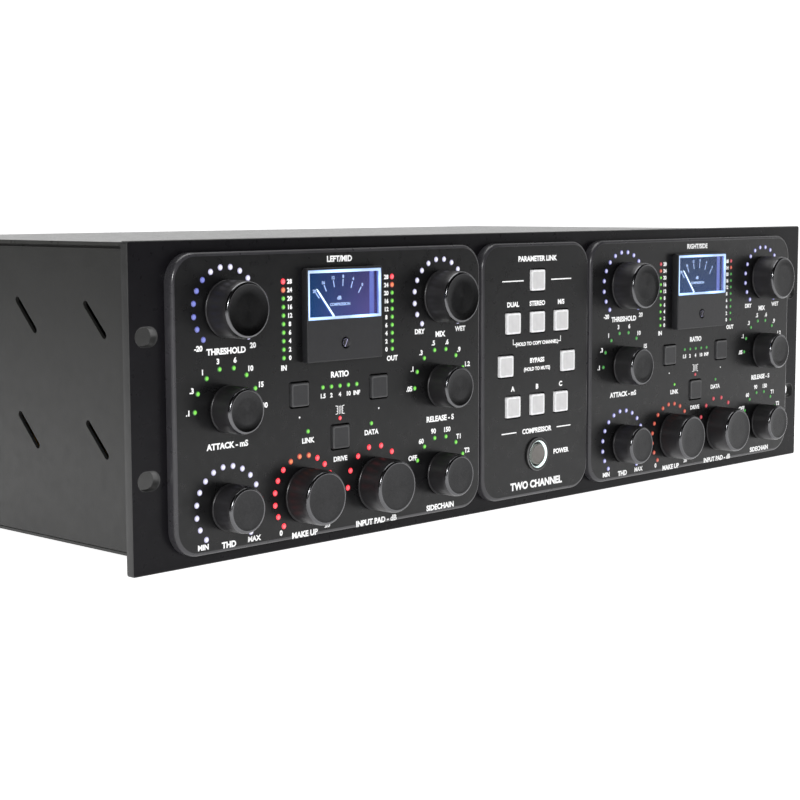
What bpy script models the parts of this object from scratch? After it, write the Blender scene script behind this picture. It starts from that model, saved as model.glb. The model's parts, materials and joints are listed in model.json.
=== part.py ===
"""Rack compressor: a two-channel unit for a 19-inch rack, three units high.

Units are metres and +Z is up. The front looks along -Y and X runs along the panel.
Sizes below are given about the panel's centre, on the front face of the base panel,
and assembly_frame() then stands the whole unit on z = 0 with its box centred on X and Y.
"""
import math

import bmesh
import bpy
from mathutils import Matrix, Vector

MM = 0.001
GAP = 0.3 * MM  # clearance between pieces that touch

# --- Front panel: 19-inch standard, three rack units
PANEL_WIDTH = 482.6 * MM
PANEL_HEIGHT = 132.5 * MM
PANEL_THICKNESS = 4.0 * MM
PANEL_CORNER = 1.5 * MM
RACK_SLOT_X = 232.55 * MM
RACK_SLOT_Z = 28.575 * MM
RACK_SLOT_WIDTH = 10.5 * MM
RACK_SLOT_HEIGHT = 7.5 * MM
EAR_PAD_X = (222.0 * MM, 240.0 * MM)  # where the ears' backs rest on the rack's rails
EAR_PAD_HALF_HEIGHT = 22.0 * MM
PAD_RISE = 0.1 * MM

# --- Raised fascia plates
FASCIA_THICKNESS = 5.0 * MM
FASCIA_HALF_HEIGHT = 61.2 * MM
FASCIA_CORNER = 12.0 * MM
FASCIA_CHAMFER = 1.4 * MM
CHANNEL_X = 132.4 * MM  # centre of each channel's fascia
CHANNEL_HALF_WIDTH = 91.2 * MM
CENTRE_HALF_WIDTH = 40.0 * MM
FASCIA_FRONT = -FASCIA_THICKNESS
PANEL_BACK = PANEL_THICKNESS

# --- Channel layout, about the channel's centre line
OUTER_COLUMN = 63.5 * MM
INNER_COLUMN = 21.3 * MM
TOP_ROW = 38.3 * MM
MIDDLE_ROW = -2.5 * MM
BOTTOM_ROW = -42.8 * MM
LARGE_KNOB = 11.8 * MM
SMALL_KNOB = 9.8 * MM
CHANNEL_KNOBS = {
    "threshold": (-OUTER_COLUMN, TOP_ROW, LARGE_KNOB),
    "attack": (-OUTER_COLUMN, MIDDLE_ROW, SMALL_KNOB),
    "thd": (-OUTER_COLUMN, BOTTOM_ROW, SMALL_KNOB),
    "make_up": (-INNER_COLUMN, BOTTOM_ROW, LARGE_KNOB),
    "pad": (INNER_COLUMN, BOTTOM_ROW, LARGE_KNOB),
    "mix": (OUTER_COLUMN, TOP_ROW, LARGE_KNOB),
    "release": (OUTER_COLUMN, MIDDLE_ROW, SMALL_KNOB),
    "sidechain": (OUTER_COLUMN, BOTTOM_ROW, SMALL_KNOB),
}
CHANNEL_BUTTONS = {
    "ratio_down": (-23.7 * MM, 0.2 * MM),
    "ratio_up": (23.7 * MM, 0.2 * MM),
    "transformer": (0.0, -19.9 * MM),
}
CENTRE_BUTTONS = {
    "link": (0.0, 43.3 * MM),
    "dual": (-18.0 * MM, 23.2 * MM),
    "stereo": (0.0, 23.2 * MM),
    "mid_side": (18.0 * MM, 23.2 * MM),
    "left_bypass": (-23.25 * MM, 3.0 * MM),
    "right_bypass": (23.25 * MM, 3.0 * MM),
    "memory_a": (-18.0 * MM, -16.8 * MM),
    "memory_b": (0.0, -16.8 * MM),
    "memory_c": (18.0 * MM, -16.8 * MM),
}
POWER_Z = -41.2 * MM

# --- Knobs and their encoders
LARGE_KNOB_FACE = FASCIA_FRONT - 14.2 * MM
SMALL_KNOB_FACE = FASCIA_FRONT - 12.6 * MM
KNOB_GAP = 0.8 * MM
KNOB_CHAMFER = 1.4 * MM
KNOB_TAPER = 0.2 * MM
KNOB_RECESS_RADIUS = 6.6 * MM
KNOB_RECESS_DEPTH = 3.5 * MM
SHAFT_RADIUS = 3.0 * MM
SHAFT_END = 12.0 * MM
BUSHING_RADIUS = 4.6 * MM
BUSHING_BORE = 3.4 * MM
BUSHING_FRONT = -8.0 * MM
BUSHING_HOLE = 5.0 * MM
ENCODER_RADIUS = 6.5 * MM
ENCODER_FRONT = 6.3 * MM

# --- Push buttons
BUTTON_HALF = 5.0 * MM
BUTTON_CLEARANCE = 0.5 * MM
BUTTON_FRONT = FASCIA_FRONT - 0.8 * MM
BUTTON_CHAMFER = 0.4 * MM
BUTTON_FLANGE_HALF = 6.2 * MM
BUTTON_FLANGE = 1.0 * MM
BUTTON_STEM_HALF = 1.5 * MM
BUTTON_TRAVEL = 1.2 * MM
BUTTON_END = 7.7 * MM
SWITCH_HALF = 3.1 * MM
SWITCH_FRONT = BUTTON_END + BUTTON_TRAVEL + GAP
POWER_CAP_RADIUS = 5.0 * MM
POWER_FRONT = FASCIA_FRONT - 1.4 * MM
POWER_TRAVEL = 2.0 * MM
BEZEL_RADIUS = 8.1 * MM
BEZEL_BORE = 5.4 * MM
BEZEL_BODY = 7.3 * MM
BEZEL_FRONT = FASCIA_FRONT - 1.2 * MM
BEZEL_RECESS = 6.6 * MM
BEZEL_RECESS_DEPTH = 1.8 * MM
BEZEL_BACK = 5.0 * MM

# --- Meters, about the channel's centre line
METER_HALF_WIDTH = 22.3 * MM
METER_BOTTOM = 13.5 * MM
METER_TOP = 53.4 * MM
METER_SPLIT = 31.0 * MM  # top of the lower cover, bottom of the window
METER_FRONT = FASCIA_FRONT - 4.0 * MM
METER_RIM = FASCIA_FRONT - 2.6 * MM
METER_BACK = 8.0 * MM
METER_BODY_HALF = 20.9 * MM
METER_BODY_INSET = 1.6 * MM
METER_WALL = 1.0 * MM
METER_COVER_BACK = METER_FRONT + 1.3 * MM
HOLLOW_FLOOR = -5.5 * MM
WINDOW_BACK = METER_RIM - GAP
PIVOT_Z = 26.2 * MM
NEEDLE_LENGTH = 23.9 * MM
NEEDLE_WIDTH = 0.6 * MM
NEEDLE_THICKNESS = 0.4 * MM
NEEDLE_Y = -7.1 * MM
NEEDLE_HUB = 1.9 * MM
NEEDLE_REST = math.radians(-40.0)
ZERO_SCREW_Z = 21.1 * MM
ZERO_SCREW_RADIUS = 2.0 * MM
ZERO_SCREW_FRONT = METER_FRONT - 0.6 * MM
ZERO_SCREW_BACK = METER_COVER_BACK - 0.2 * MM

# --- Chassis
CHASSIS_HALF_WIDTH = 219.0 * MM
CHASSIS_BACK = 232.0 * MM
CHASSIS_FRONT = PANEL_BACK + GAP
BASE_BOTTOM = -65.0 * MM
BASE_THICKNESS = 1.2 * MM
COVER_TOP = 65.0 * MM
COVER_THICKNESS = 1.5 * MM
COVER_LIP = 1.0 * MM
COVER_LIP_BOTTOM = 55.0 * MM
SIDE_THICKNESS = 1.5 * MM
SIDE_TOP = 62.3 * MM
REAR_THICKNESS = 1.5 * MM
VENT_COLUMNS = (52.0 * MM, 102.0 * MM, 152.0 * MM, 202.0 * MM)
VENT_ROWS = (32.5 * MM, -18.0 * MM)
VENT_LENGTH = 21.0 * MM
VENT_WIDTH = 3.0 * MM

# --- Inside
CONTROL_BOARD_FRONT = 12.8 * MM
BOARD_THICKNESS = 1.6 * MM
CONTROL_BOARD_HALF_WIDTH = 210.0 * MM
CONTROL_BOARD_BOTTOM = -55.5 * MM
CONTROL_BOARD_TOP = 52.0 * MM
MAIN_BOARD_BOTTOM = -56.0 * MM
TOROID_PLACE = (-140.0 * MM, 165.0 * MM)
TOROID_RADIUS = 46.0 * MM
TOROID_HEIGHT = 40.0 * MM
OUTPUT_TRANSFORMER_X = (60.0 * MM, 130.0 * MM)
OUTPUT_TRANSFORMER_SIZE = (42.0 * MM, 36.0 * MM, 38.0 * MM)

# --- Rear connectors
SOCKET_Z = 8.0 * MM
INPUT_SOCKET_X = {"left": 175.0 * MM, "right": 65.0 * MM}
OUTPUT_SOCKET_X = {"left": 130.0 * MM, "right": 20.0 * MM}
SOCKET_RADIUS = 11.5 * MM
SOCKET_FLANGE = (26.0 * MM, 31.0 * MM)
SOCKET_FLANGE_THICKNESS = 2.0 * MM
SOCKET_DEPTH = 20.0 * MM
INLET_X = -165.0 * MM
INLET_Z = -25.0 * MM
INLET_FLANGE = (50.0 * MM, 26.0 * MM)
INLET_BODY = (28.0 * MM, 21.0 * MM)
INLET_RECESS = (24.5 * MM, 16.5 * MM)
FLANGE_FRONT = CHASSIS_BACK + GAP
REAR_MOST = FLANGE_FRONT + SOCKET_FLANGE_THICKNESS

SIDES = {"left": -CHANNEL_X, "right": CHANNEL_X}

# How a flat outline (u, v) and its depth w lie in space
FRONT_PLANE = Matrix(((1, 0, 0, 0), (0, 0, 1, 0), (0, 1, 0, 0), (0, 0, 0, 1)))
SIDE_PLANE = Matrix(((0, 0, 1, 0), (1, 0, 0, 0), (0, 1, 0, 0), (0, 0, 0, 1)))
LEVEL_PLANE = Matrix.Identity(4)


# ---------------------------------------------------------------- materials
def material(name, colour, roughness, metallic=0.0, transmission=0.0):
    """A Principled material with plain values."""
    made = bpy.data.materials.new(name)
    made.use_nodes = True
    shader = made.node_tree.nodes["Principled BSDF"]
    shader.inputs["Base Color"].default_value = (*colour, 1.0)
    shader.inputs["Roughness"].default_value = roughness
    shader.inputs["Metallic"].default_value = metallic
    shader.inputs["Transmission Weight"].default_value = transmission
    return made


def make_materials():
    """Every finish of the unit, by the name of its slot."""
    return {
        "black_panel": material("black_panel", (0.018, 0.018, 0.02), 0.45, 0.3),
        "fascia_black": material("fascia_black", (0.015, 0.015, 0.017), 0.4, 0.3),
        "chassis_black": material("chassis_black", (0.05, 0.05, 0.055), 0.5, 0.2),
        "knob_black": material("knob_black", (0.012, 0.012, 0.014), 0.28, 0.9),
        "button_white": material("button_white", (0.62, 0.62, 0.64), 0.4),
        "power_grey": material("power_grey", (0.12, 0.12, 0.12), 0.35, 0.8),
        "button_black": material("button_black", (0.02, 0.02, 0.022), 0.4),
        "meter_black": material("meter_black", (0.01, 0.01, 0.012), 0.3),
        "meter_clear": material("meter_clear", (0.75, 0.86, 1.0), 0.05, 0.0, 0.9),
        "needle_white": material("needle_white", (0.8, 0.85, 0.9), 0.5),
        "board_green": material("board_green", (0.02, 0.12, 0.05), 0.5),
        "winding_amber": material("winding_amber", (0.55, 0.3, 0.04), 0.35),
        "can_steel": material("can_steel", (0.45, 0.45, 0.46), 0.35, 1.0),
        "socket_metal": material("socket_metal", (0.2, 0.2, 0.21), 0.35, 0.9),
        "socket_plastic": material("socket_plastic", (0.02, 0.02, 0.02), 0.5),
    }


# ---------------------------------------------------------------- outlines
def arc(centre, radius, start, stop, steps):
    """Points on a circle, both ends included."""
    turn = (stop - start) / steps
    return [
        (centre[0] + radius * math.cos(start + turn * i), centre[1] + radius * math.sin(start + turn * i))
        for i in range(steps + 1)
    ]


def circle(centre, radius, steps):
    return arc(centre, radius, 0.0, 2.0 * math.pi, steps)[:-1]


def rectangle(low, high):
    return [(low[0], low[1]), (high[0], low[1]), (high[0], high[1]), (low[0], high[1])]


def square(centre, half):
    return rectangle((centre[0] - half, centre[1] - half), (centre[0] + half, centre[1] + half))


def rounded_rectangle(low, high, radius, steps=4):
    """A rectangle with round corners, from the lower right corner anticlockwise."""
    corners = (
        ((high[0] - radius, low[1] + radius), -0.5 * math.pi),
        ((high[0] - radius, high[1] - radius), 0.0),
        ((low[0] + radius, high[1] - radius), 0.5 * math.pi),
        ((low[0] + radius, low[1] + radius), math.pi),
    )
    points = []
    for centre, start in corners:
        points += arc(centre, radius, start, start + 0.5 * math.pi, steps)
    return points


def slot(centre, length, width, angle=0.0, steps=4):
    """A slot with round ends, its long way turned by angle."""
    reach = 0.5 * (length - width)
    points = []
    for side in (1, -1):
        turn = angle if side > 0 else angle + math.pi
        end = (centre[0] + reach * math.cos(turn), centre[1] + reach * math.sin(turn))
        points += arc(end, 0.5 * width, turn - 0.5 * math.pi, turn + 0.5 * math.pi, steps)
    return points


# ---------------------------------------------------------------- solids
def ring_of(mesh, outline, depth, plane):
    """One closed loop of vertices at a depth."""
    return [mesh.verts.new(plane @ Vector((u, v, depth))) for u, v in outline]


def loop_edges(mesh, ring):
    return [mesh.edges.new((ring[i - 1], ring[i])) for i in range(len(ring))]


def wall(mesh, first, second):
    """A band of faces between two loops with the same number of points."""
    for i in range(len(first)):
        mesh.faces.new((first[i - 1], first[i], second[i], second[i - 1]))


def slab(mesh, layers, holes=(), plane=FRONT_PLANE, pads=()):
    """A plate: its outline at each depth, front to back, the holes through it, pads raised on its back."""
    rings = [ring_of(mesh, outline, depth, plane) for outline, depth in layers]
    front = [ring_of(mesh, hole, layers[0][1], plane) for hole in holes]
    back = [ring_of(mesh, hole, layers[-1][1], plane) for hole in holes]
    feet = [ring_of(mesh, pad, layers[-1][1], plane) for pad in pads]
    tops = [ring_of(mesh, pad, layers[-1][1] + PAD_RISE, plane) for pad in pads]
    for loops in ([rings[0]] + front, [rings[-1]] + back + feet):
        edges = [edge for ring in loops for edge in loop_edges(mesh, ring)]
        bmesh.ops.triangle_fill(mesh, use_beauty=True, edges=edges)
    for ring in tops:
        mesh.faces.new(ring)
    for first, second in list(zip(rings, rings[1:])) + list(zip(front, back)) + list(zip(feet, tops)):
        wall(mesh, first, second)


def plain_slab(mesh, outline, first, second, holes=(), plane=FRONT_PLANE, pads=()):
    slab(mesh, ((outline, first), (outline, second)), holes, plane, pads)


def block(mesh, low, high):
    """A box between two corners."""
    plain_slab(mesh, rectangle(low[:2], high[:2]), low[2], high[2], (), LEVEL_PLANE)


def turned(mesh, profile, steps, centre=(0.0, 0.0, 0.0), axis=(0, 1, 0), phase=0.0, ring=False):
    """A round solid: (radius, distance along the axis) points spun about the axis."""
    along = Vector(axis)
    out = Matrix.Rotation(phase, 3, along) @ Vector((1.0, 0.0, 0.0))
    centre = Vector(centre)
    verts = [mesh.verts.new(centre + out * radius + along * place) for radius, place in profile]
    pairs = list(zip(verts, verts[1:]))
    if ring:
        pairs.append((verts[-1], verts[0]))
    edges = [mesh.edges.new(pair) for pair in pairs]
    bmesh.ops.spin(
        mesh, geom=verts + edges, cent=centre, axis=along, angle=2.0 * math.pi, steps=steps, use_merge=True
    )


def squares(mesh, profile, centre=(0.0, 0.0, 0.0)):
    """A square solid along Y: (half width, y) points."""
    layers = [(radius * math.sqrt(2.0), place) for radius, place in profile]
    turned(mesh, layers, 4, centre, phase=0.25 * math.pi)


class Workshop:
    """Makes the objects of the unit under one empty."""

    def __init__(self, frame, materials):
        self.frame = frame
        self.materials = materials

    def mesh_of(self, name, draw):
        """Closed mesh of what draw(mesh) adds, with its normals out."""
        mesh = bmesh.new()
        draw(mesh)
        bmesh.ops.remove_doubles(mesh, verts=mesh.verts, dist=0.001 * MM)
        bmesh.ops.recalc_face_normals(mesh, faces=mesh.faces)
        data = bpy.data.meshes.new(name)
        mesh.to_mesh(data)
        mesh.free()
        return data

    def place(self, name, data, place, turn=0.0):
        """An object with its origin at place, turned about Y."""
        thing = bpy.data.objects.new(name, data)
        bpy.context.scene.collection.objects.link(thing)
        thing.parent = self.frame
        thing.location = place
        thing.rotation_euler = (0.0, turn, 0.0)
        return thing

    def piece(self, name, slot_name, draw, place=(0.0, 0.0, 0.0), turn=0.0, smooth=False):
        """One sub-part in its own material."""
        data = self.mesh_of(name, draw)
        data.materials.append(self.materials[slot_name])
        if smooth:
            data.shade_smooth()
            data.set_sharp_from_angle(angle=math.radians(40.0))
        return self.place(name, data, place, turn)

    def combine(self, thing, operation, draw):
        """A Boolean with a hidden tool drawn in the same axes as the piece."""
        count = len(thing.modifiers) + 1
        name = f"{thing.name}_tool_{count}"
        tool = self.place(name, self.mesh_of(name, draw), thing.location)
        tool.hide_render = True
        tool.display_type = "WIRE"
        modifier = thing.modifiers.new(f"{operation.lower()}_{count}", "BOOLEAN")
        modifier.operation = operation
        modifier.solver = "EXACT"
        modifier.object = tool


# ---------------------------------------------------------------- front
def control_holes(side_x, knobs, buttons):
    """Round bushing holes and square button holes about a centre line."""
    holes = [circle((side_x + x, z), BUSHING_HOLE, 12) for x, z, _ in knobs.values()]
    holes += [square((side_x + x, z), BUTTON_HALF + BUTTON_CLEARANCE) for x, z in buttons.values()]
    return holes


def meter_hole(side_x):
    half = METER_BODY_HALF + GAP
    low = METER_BOTTOM + METER_BODY_INSET - GAP
    high = METER_TOP - METER_BODY_INSET + GAP
    return rectangle((side_x - half, low), (side_x + half, high))


def channel_holes(side_x):
    return control_holes(side_x, CHANNEL_KNOBS, CHANNEL_BUTTONS) + [meter_hole(side_x)]


def centre_holes():
    return control_holes(0.0, {}, CENTRE_BUTTONS) + [circle((0.0, POWER_Z), BEZEL_BODY + GAP, 16)]


def rack_slots():
    return [
        slot((x * RACK_SLOT_X, z * RACK_SLOT_Z), RACK_SLOT_WIDTH, RACK_SLOT_HEIGHT)
        for x in (-1, 1)
        for z in (-1, 1)
    ]


def ear_pads():
    """The bare pad on each ear's back, between its slots and clear of the case."""
    near, far = EAR_PAD_X
    z = EAR_PAD_HALF_HEIGHT
    return [rectangle((-far, -z), (-near, z)), rectangle((near, -z), (far, z))]


def make_front_panel(shop):
    low = (-0.5 * PANEL_WIDTH, -0.5 * PANEL_HEIGHT)
    high = (0.5 * PANEL_WIDTH, 0.5 * PANEL_HEIGHT)
    outline = rounded_rectangle(low, high, PANEL_CORNER, 2)
    holes = rack_slots() + centre_holes()
    for side_x in SIDES.values():
        holes += channel_holes(side_x)
    pads = ear_pads()
    shop.piece(
        "front_panel",
        "black_panel",
        lambda m: plain_slab(m, outline, 0.0, PANEL_BACK - PAD_RISE, holes, FRONT_PLANE, pads),
    )


def make_fascia(shop, name, centre_x, half_width, holes):
    """A raised plate with round corners and a chamfer round its front edge."""
    def outline(inset):
        low = (centre_x - half_width + inset, -FASCIA_HALF_HEIGHT + inset)
        high = (centre_x + half_width - inset, FASCIA_HALF_HEIGHT - inset)
        return rounded_rectangle(low, high, FASCIA_CORNER - inset)

    layers = (
        (outline(FASCIA_CHAMFER), FASCIA_FRONT),
        (outline(0.0), FASCIA_FRONT + FASCIA_CHAMFER),
        (outline(0.0), -GAP),
    )
    shop.piece(name, "fascia_black", lambda m: slab(m, layers, holes))


def make_fascias(shop):
    make_fascia(shop, "centre_fascia", 0.0, CENTRE_HALF_WIDTH, centre_holes())
    for side, side_x in SIDES.items():
        make_fascia(shop, f"{side}_fascia", side_x, CHANNEL_HALF_WIDTH, channel_holes(side_x))


# ---------------------------------------------------------------- controls
def knob_profile(radius):
    """Face, chamfer, slightly tapered side, rear recess and shaft, from front to back."""
    rear = FASCIA_FRONT - KNOB_GAP
    face = LARGE_KNOB_FACE if radius == LARGE_KNOB else SMALL_KNOB_FACE
    return (
        (0.0, face),
        (radius - KNOB_CHAMFER, face),
        (radius - KNOB_TAPER, face + KNOB_CHAMFER),
        (radius, rear),
        (KNOB_RECESS_RADIUS, rear),
        (KNOB_RECESS_RADIUS, rear - KNOB_RECESS_DEPTH),
        (SHAFT_RADIUS, rear - KNOB_RECESS_DEPTH),
        (SHAFT_RADIUS, SHAFT_END),
        (0.0, SHAFT_END),
    )


def make_knobs(shop):
    for side, side_x in SIDES.items():
        for knob, (x, z, radius) in CHANNEL_KNOBS.items():
            steps = 20 if radius == LARGE_KNOB else 16
            shop.piece(
                f"{side}_{knob}_knob",
                "knob_black",
                lambda m: turned(m, knob_profile(radius), steps),
                (side_x + x, 0.0, z),
                smooth=True,
            )


def button_profile():
    """Cap, retaining flange behind the panel and stem to the switch, from front to back."""
    flange = PANEL_BACK + GAP
    return (
        (0.0, BUTTON_FRONT),
        (BUTTON_HALF - BUTTON_CHAMFER, BUTTON_FRONT),
        (BUTTON_HALF, BUTTON_FRONT + BUTTON_CHAMFER),
        (BUTTON_HALF, flange),
        (BUTTON_FLANGE_HALF, flange),
        (BUTTON_FLANGE_HALF, flange + BUTTON_FLANGE),
        (BUTTON_STEM_HALF, flange + BUTTON_FLANGE),
        (BUTTON_STEM_HALF, BUTTON_END),
        (0.0, BUTTON_END),
    )


def make_button(shop, name, slot_name, x, z):
    shop.piece(name, slot_name, lambda m: squares(m, button_profile()), (x, 0.0, z))


def make_buttons(shop):
    for side, side_x in SIDES.items():
        for button, (x, z) in CHANNEL_BUTTONS.items():
            make_button(shop, f"{side}_{button}_button", "button_black", side_x + x, z)
    for button, (x, z) in CENTRE_BUTTONS.items():
        make_button(shop, f"{button}_button", "button_white", x, z)


def make_power_button(shop):
    flange = BEZEL_BACK + GAP
    cap = (
        (0.0, POWER_FRONT),
        (POWER_CAP_RADIUS - BUTTON_CHAMFER, POWER_FRONT),
        (POWER_CAP_RADIUS, POWER_FRONT + BUTTON_CHAMFER),
        (POWER_CAP_RADIUS, flange),
        (BUTTON_FLANGE_HALF, flange),
        (BUTTON_FLANGE_HALF, flange + BUTTON_FLANGE),
        (BUTTON_STEM_HALF, flange + BUTTON_FLANGE),
        (BUTTON_STEM_HALF, BUTTON_END),
        (0.0, BUTTON_END),
    )
    bezel = (
        (BEZEL_BORE, BEZEL_FRONT + BEZEL_RECESS_DEPTH),
        (BEZEL_RECESS, BEZEL_FRONT + BEZEL_RECESS_DEPTH),
        (BEZEL_RECESS, BEZEL_FRONT),
        (BEZEL_RADIUS - BUTTON_CHAMFER, BEZEL_FRONT),
        (BEZEL_RADIUS, BEZEL_FRONT + BUTTON_CHAMFER),
        (BEZEL_RADIUS, FASCIA_FRONT - GAP),
        (BEZEL_BODY, FASCIA_FRONT - GAP),
        (BEZEL_BODY, BEZEL_BACK),
        (BEZEL_BORE, BEZEL_BACK),
    )
    place = (0.0, 0.0, POWER_Z)
    shop.piece("power_button", "power_grey", lambda m: turned(m, cap, 16), place, smooth=True)
    shop.piece(
        "power_button_bezel", "power_grey", lambda m: turned(m, bezel, 16, ring=True), place, smooth=True
    )


# ---------------------------------------------------------------- meters
def make_meter_case(shop, side, side_x):
    """Body behind the panel, rim on the fascia, lower cover and the hollow for the needle."""
    body_low = METER_BOTTOM + METER_BODY_INSET
    body_high = METER_TOP - METER_BODY_INSET
    case = shop.piece(
        f"{side}_meter_case",
        "meter_black",
        lambda m: block(m, (-METER_BODY_HALF, METER_RIM + GAP, body_low), (METER_BODY_HALF, METER_BACK, body_high)),
        (side_x, 0.0, 0.0),
    )
    rim_low = (-METER_HALF_WIDTH, METER_RIM, METER_BOTTOM)
    rim_high = (METER_HALF_WIDTH, FASCIA_FRONT - GAP, METER_TOP)
    shop.combine(case, "UNION", lambda m: block(m, rim_low, rim_high))
    cover_low = (-METER_HALF_WIDTH, METER_FRONT, METER_BOTTOM)
    cover_high = (METER_HALF_WIDTH, METER_RIM + GAP, METER_SPLIT)
    shop.combine(case, "UNION", lambda m: block(m, cover_low, cover_high))
    hollow_low = (-METER_BODY_HALF + METER_WALL, METER_COVER_BACK, body_low + METER_WALL)
    hollow_high = (METER_BODY_HALF - METER_WALL, HOLLOW_FLOOR, body_high - METER_WALL)
    shop.combine(case, "DIFFERENCE", lambda m: block(m, hollow_low, hollow_high))
    bore = ((0.0, METER_FRONT - MM), (ZERO_SCREW_RADIUS + GAP, METER_FRONT - MM))
    bore += ((ZERO_SCREW_RADIUS + GAP, METER_COVER_BACK + MM), (0.0, METER_COVER_BACK + MM))
    shop.combine(case, "DIFFERENCE", lambda m: turned(m, bore, 16, (0.0, 0.0, ZERO_SCREW_Z)))


def make_meter_window(shop, side, side_x):
    low = (-METER_HALF_WIDTH, METER_FRONT, METER_SPLIT + GAP)
    high = (METER_HALF_WIDTH, WINDOW_BACK, METER_TOP)
    shop.piece(f"{side}_meter_window", "meter_clear", lambda m: block(m, low, high), (side_x, 0.0, 0.0))


def needle_outline():
    """A thin blade that grows out of a round hub."""
    half = 0.5 * NEEDLE_WIDTH
    spread = math.asin(half / NEEDLE_HUB)
    top = 0.5 * math.pi
    hub = arc((0.0, 0.0), NEEDLE_HUB, top + spread, top + 2.0 * math.pi - spread, 12)
    tip = NEEDLE_LENGTH
    return hub + [(half, tip - NEEDLE_WIDTH), (0.0, tip), (-half, tip - NEEDLE_WIDTH)]


def make_needle(shop, side, side_x):
    front = NEEDLE_Y - 0.5 * NEEDLE_THICKNESS
    shop.piece(
        f"{side}_meter_needle",
        "needle_white",
        lambda m: plain_slab(m, needle_outline(), front, front + NEEDLE_THICKNESS),
        (side_x, 0.0, PIVOT_Z),
        NEEDLE_REST,
    )


def make_zero_screw(shop, side, side_x):
    profile = (
        (0.0, ZERO_SCREW_FRONT),
        (ZERO_SCREW_RADIUS, ZERO_SCREW_FRONT),
        (ZERO_SCREW_RADIUS, ZERO_SCREW_BACK),
        (0.0, ZERO_SCREW_BACK),
    )
    place = (side_x, 0.0, ZERO_SCREW_Z)
    name = f"{side}_zero_screw"
    shop.piece(name, "meter_black", lambda m: turned(m, profile, 12), place, smooth=True)


def make_meters(shop):
    for side, side_x in SIDES.items():
        make_meter_case(shop, side, side_x)
        make_meter_window(shop, side, side_x)
        make_needle(shop, side, side_x)
        make_zero_screw(shop, side, side_x)


# ---------------------------------------------------------------- chassis
def make_base_and_cover(shop):
    base = rectangle((-CHASSIS_HALF_WIDTH, CHASSIS_FRONT), (CHASSIS_HALF_WIDTH, CHASSIS_BACK))
    shop.piece(
        "chassis_base",
        "chassis_black",
        lambda m: plain_slab(m, base, BASE_BOTTOM, BASE_BOTTOM + BASE_THICKNESS, (), LEVEL_PLANE),
    )
    under = COVER_TOP - COVER_THICKNESS
    lip_out = CHASSIS_HALF_WIDTH - SIDE_THICKNESS - GAP
    lip_in = lip_out - COVER_LIP
    half = [(CHASSIS_HALF_WIDTH, COVER_TOP), (CHASSIS_HALF_WIDTH, under), (lip_out, under)]
    half += [(lip_out, COVER_LIP_BOTTOM), (lip_in, COVER_LIP_BOTTOM), (lip_in, under)]
    outline = half + [(-x, z) for x, z in reversed(half)]
    cover = shop.piece(
        "top_cover", "chassis_black", lambda m: plain_slab(m, outline, CHASSIS_FRONT, CHASSIS_BACK)
    )
    notch_low = (-CHASSIS_HALF_WIDTH, CHASSIS_BACK - REAR_THICKNESS - GAP, COVER_LIP_BOTTOM - MM)
    notch_high = (CHASSIS_HALF_WIDTH, CHASSIS_BACK + MM, under)
    shop.combine(cover, "DIFFERENCE", lambda m: block(m, notch_low, notch_high))


def make_side_panels(shop):
    """Each side wall, with rows of slanted cooling slots."""
    floor = BASE_BOTTOM + BASE_THICKNESS + GAP
    back = CHASSIS_BACK - REAR_THICKNESS - GAP
    outline = rectangle((CHASSIS_FRONT, floor), (back, SIDE_TOP))
    slant = 0.25 * math.pi
    holes = [slot((y, z), VENT_LENGTH, VENT_WIDTH, slant) for y in VENT_COLUMNS for z in VENT_ROWS]
    for side, sign in (("left", -1), ("right", 1)):
        inner = sign * (CHASSIS_HALF_WIDTH - SIDE_THICKNESS)
        outer = sign * CHASSIS_HALF_WIDTH
        shop.piece(
            f"{side}_side_panel",
            "chassis_black",
            lambda m: plain_slab(m, outline, inner, outer, holes, SIDE_PLANE),
        )


def make_rear_panel(shop):
    floor = BASE_BOTTOM + BASE_THICKNESS + GAP
    ceiling = COVER_TOP - COVER_THICKNESS - GAP
    outline = rectangle((-CHASSIS_HALF_WIDTH, floor), (CHASSIS_HALF_WIDTH, ceiling))
    places = list(INPUT_SOCKET_X.values()) + list(OUTPUT_SOCKET_X.values())
    holes = [circle((x, SOCKET_Z), SOCKET_RADIUS + GAP, 16) for x in places]
    half_x = 0.5 * INLET_BODY[0] + GAP
    half_z = 0.5 * INLET_BODY[1] + GAP
    holes.append(rectangle((INLET_X - half_x, INLET_Z - half_z), (INLET_X + half_x, INLET_Z + half_z)))
    front = CHASSIS_BACK - REAR_THICKNESS
    shop.piece(
        "rear_panel", "chassis_black", lambda m: plain_slab(m, outline, front, CHASSIS_BACK, holes)
    )


# ---------------------------------------------------------------- inside
def encoder(mesh, x, z):
    """Round encoder body with its threaded bushing and the bore for the knob's shaft."""
    profile = (
        (0.0, SHAFT_END + GAP),
        (BUSHING_BORE, SHAFT_END + GAP),
        (BUSHING_BORE, BUSHING_FRONT),
        (BUSHING_RADIUS, BUSHING_FRONT),
        (BUSHING_RADIUS, ENCODER_FRONT),
        (ENCODER_RADIUS, ENCODER_FRONT),
        (ENCODER_RADIUS, CONTROL_BOARD_FRONT + GAP),
        (0.0, CONTROL_BOARD_FRONT + GAP),
    )
    turned(mesh, profile, 12, (x, 0.0, z))


def switch(mesh, x, z, half=SWITCH_HALF, front=SWITCH_FRONT):
    block(mesh, (x - half, front, z - half), (x + half, CONTROL_BOARD_FRONT + GAP, z + half))


def standoff(mesh, x, z):
    """A hexagonal spacer from the front panel to the board."""
    front = PANEL_BACK + GAP
    back = CONTROL_BOARD_FRONT + GAP
    profile = ((0.0, front), (3.0 * MM, front), (3.0 * MM, back), (0.0, back))
    turned(mesh, profile, 6, (x, 0.0, z))


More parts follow.
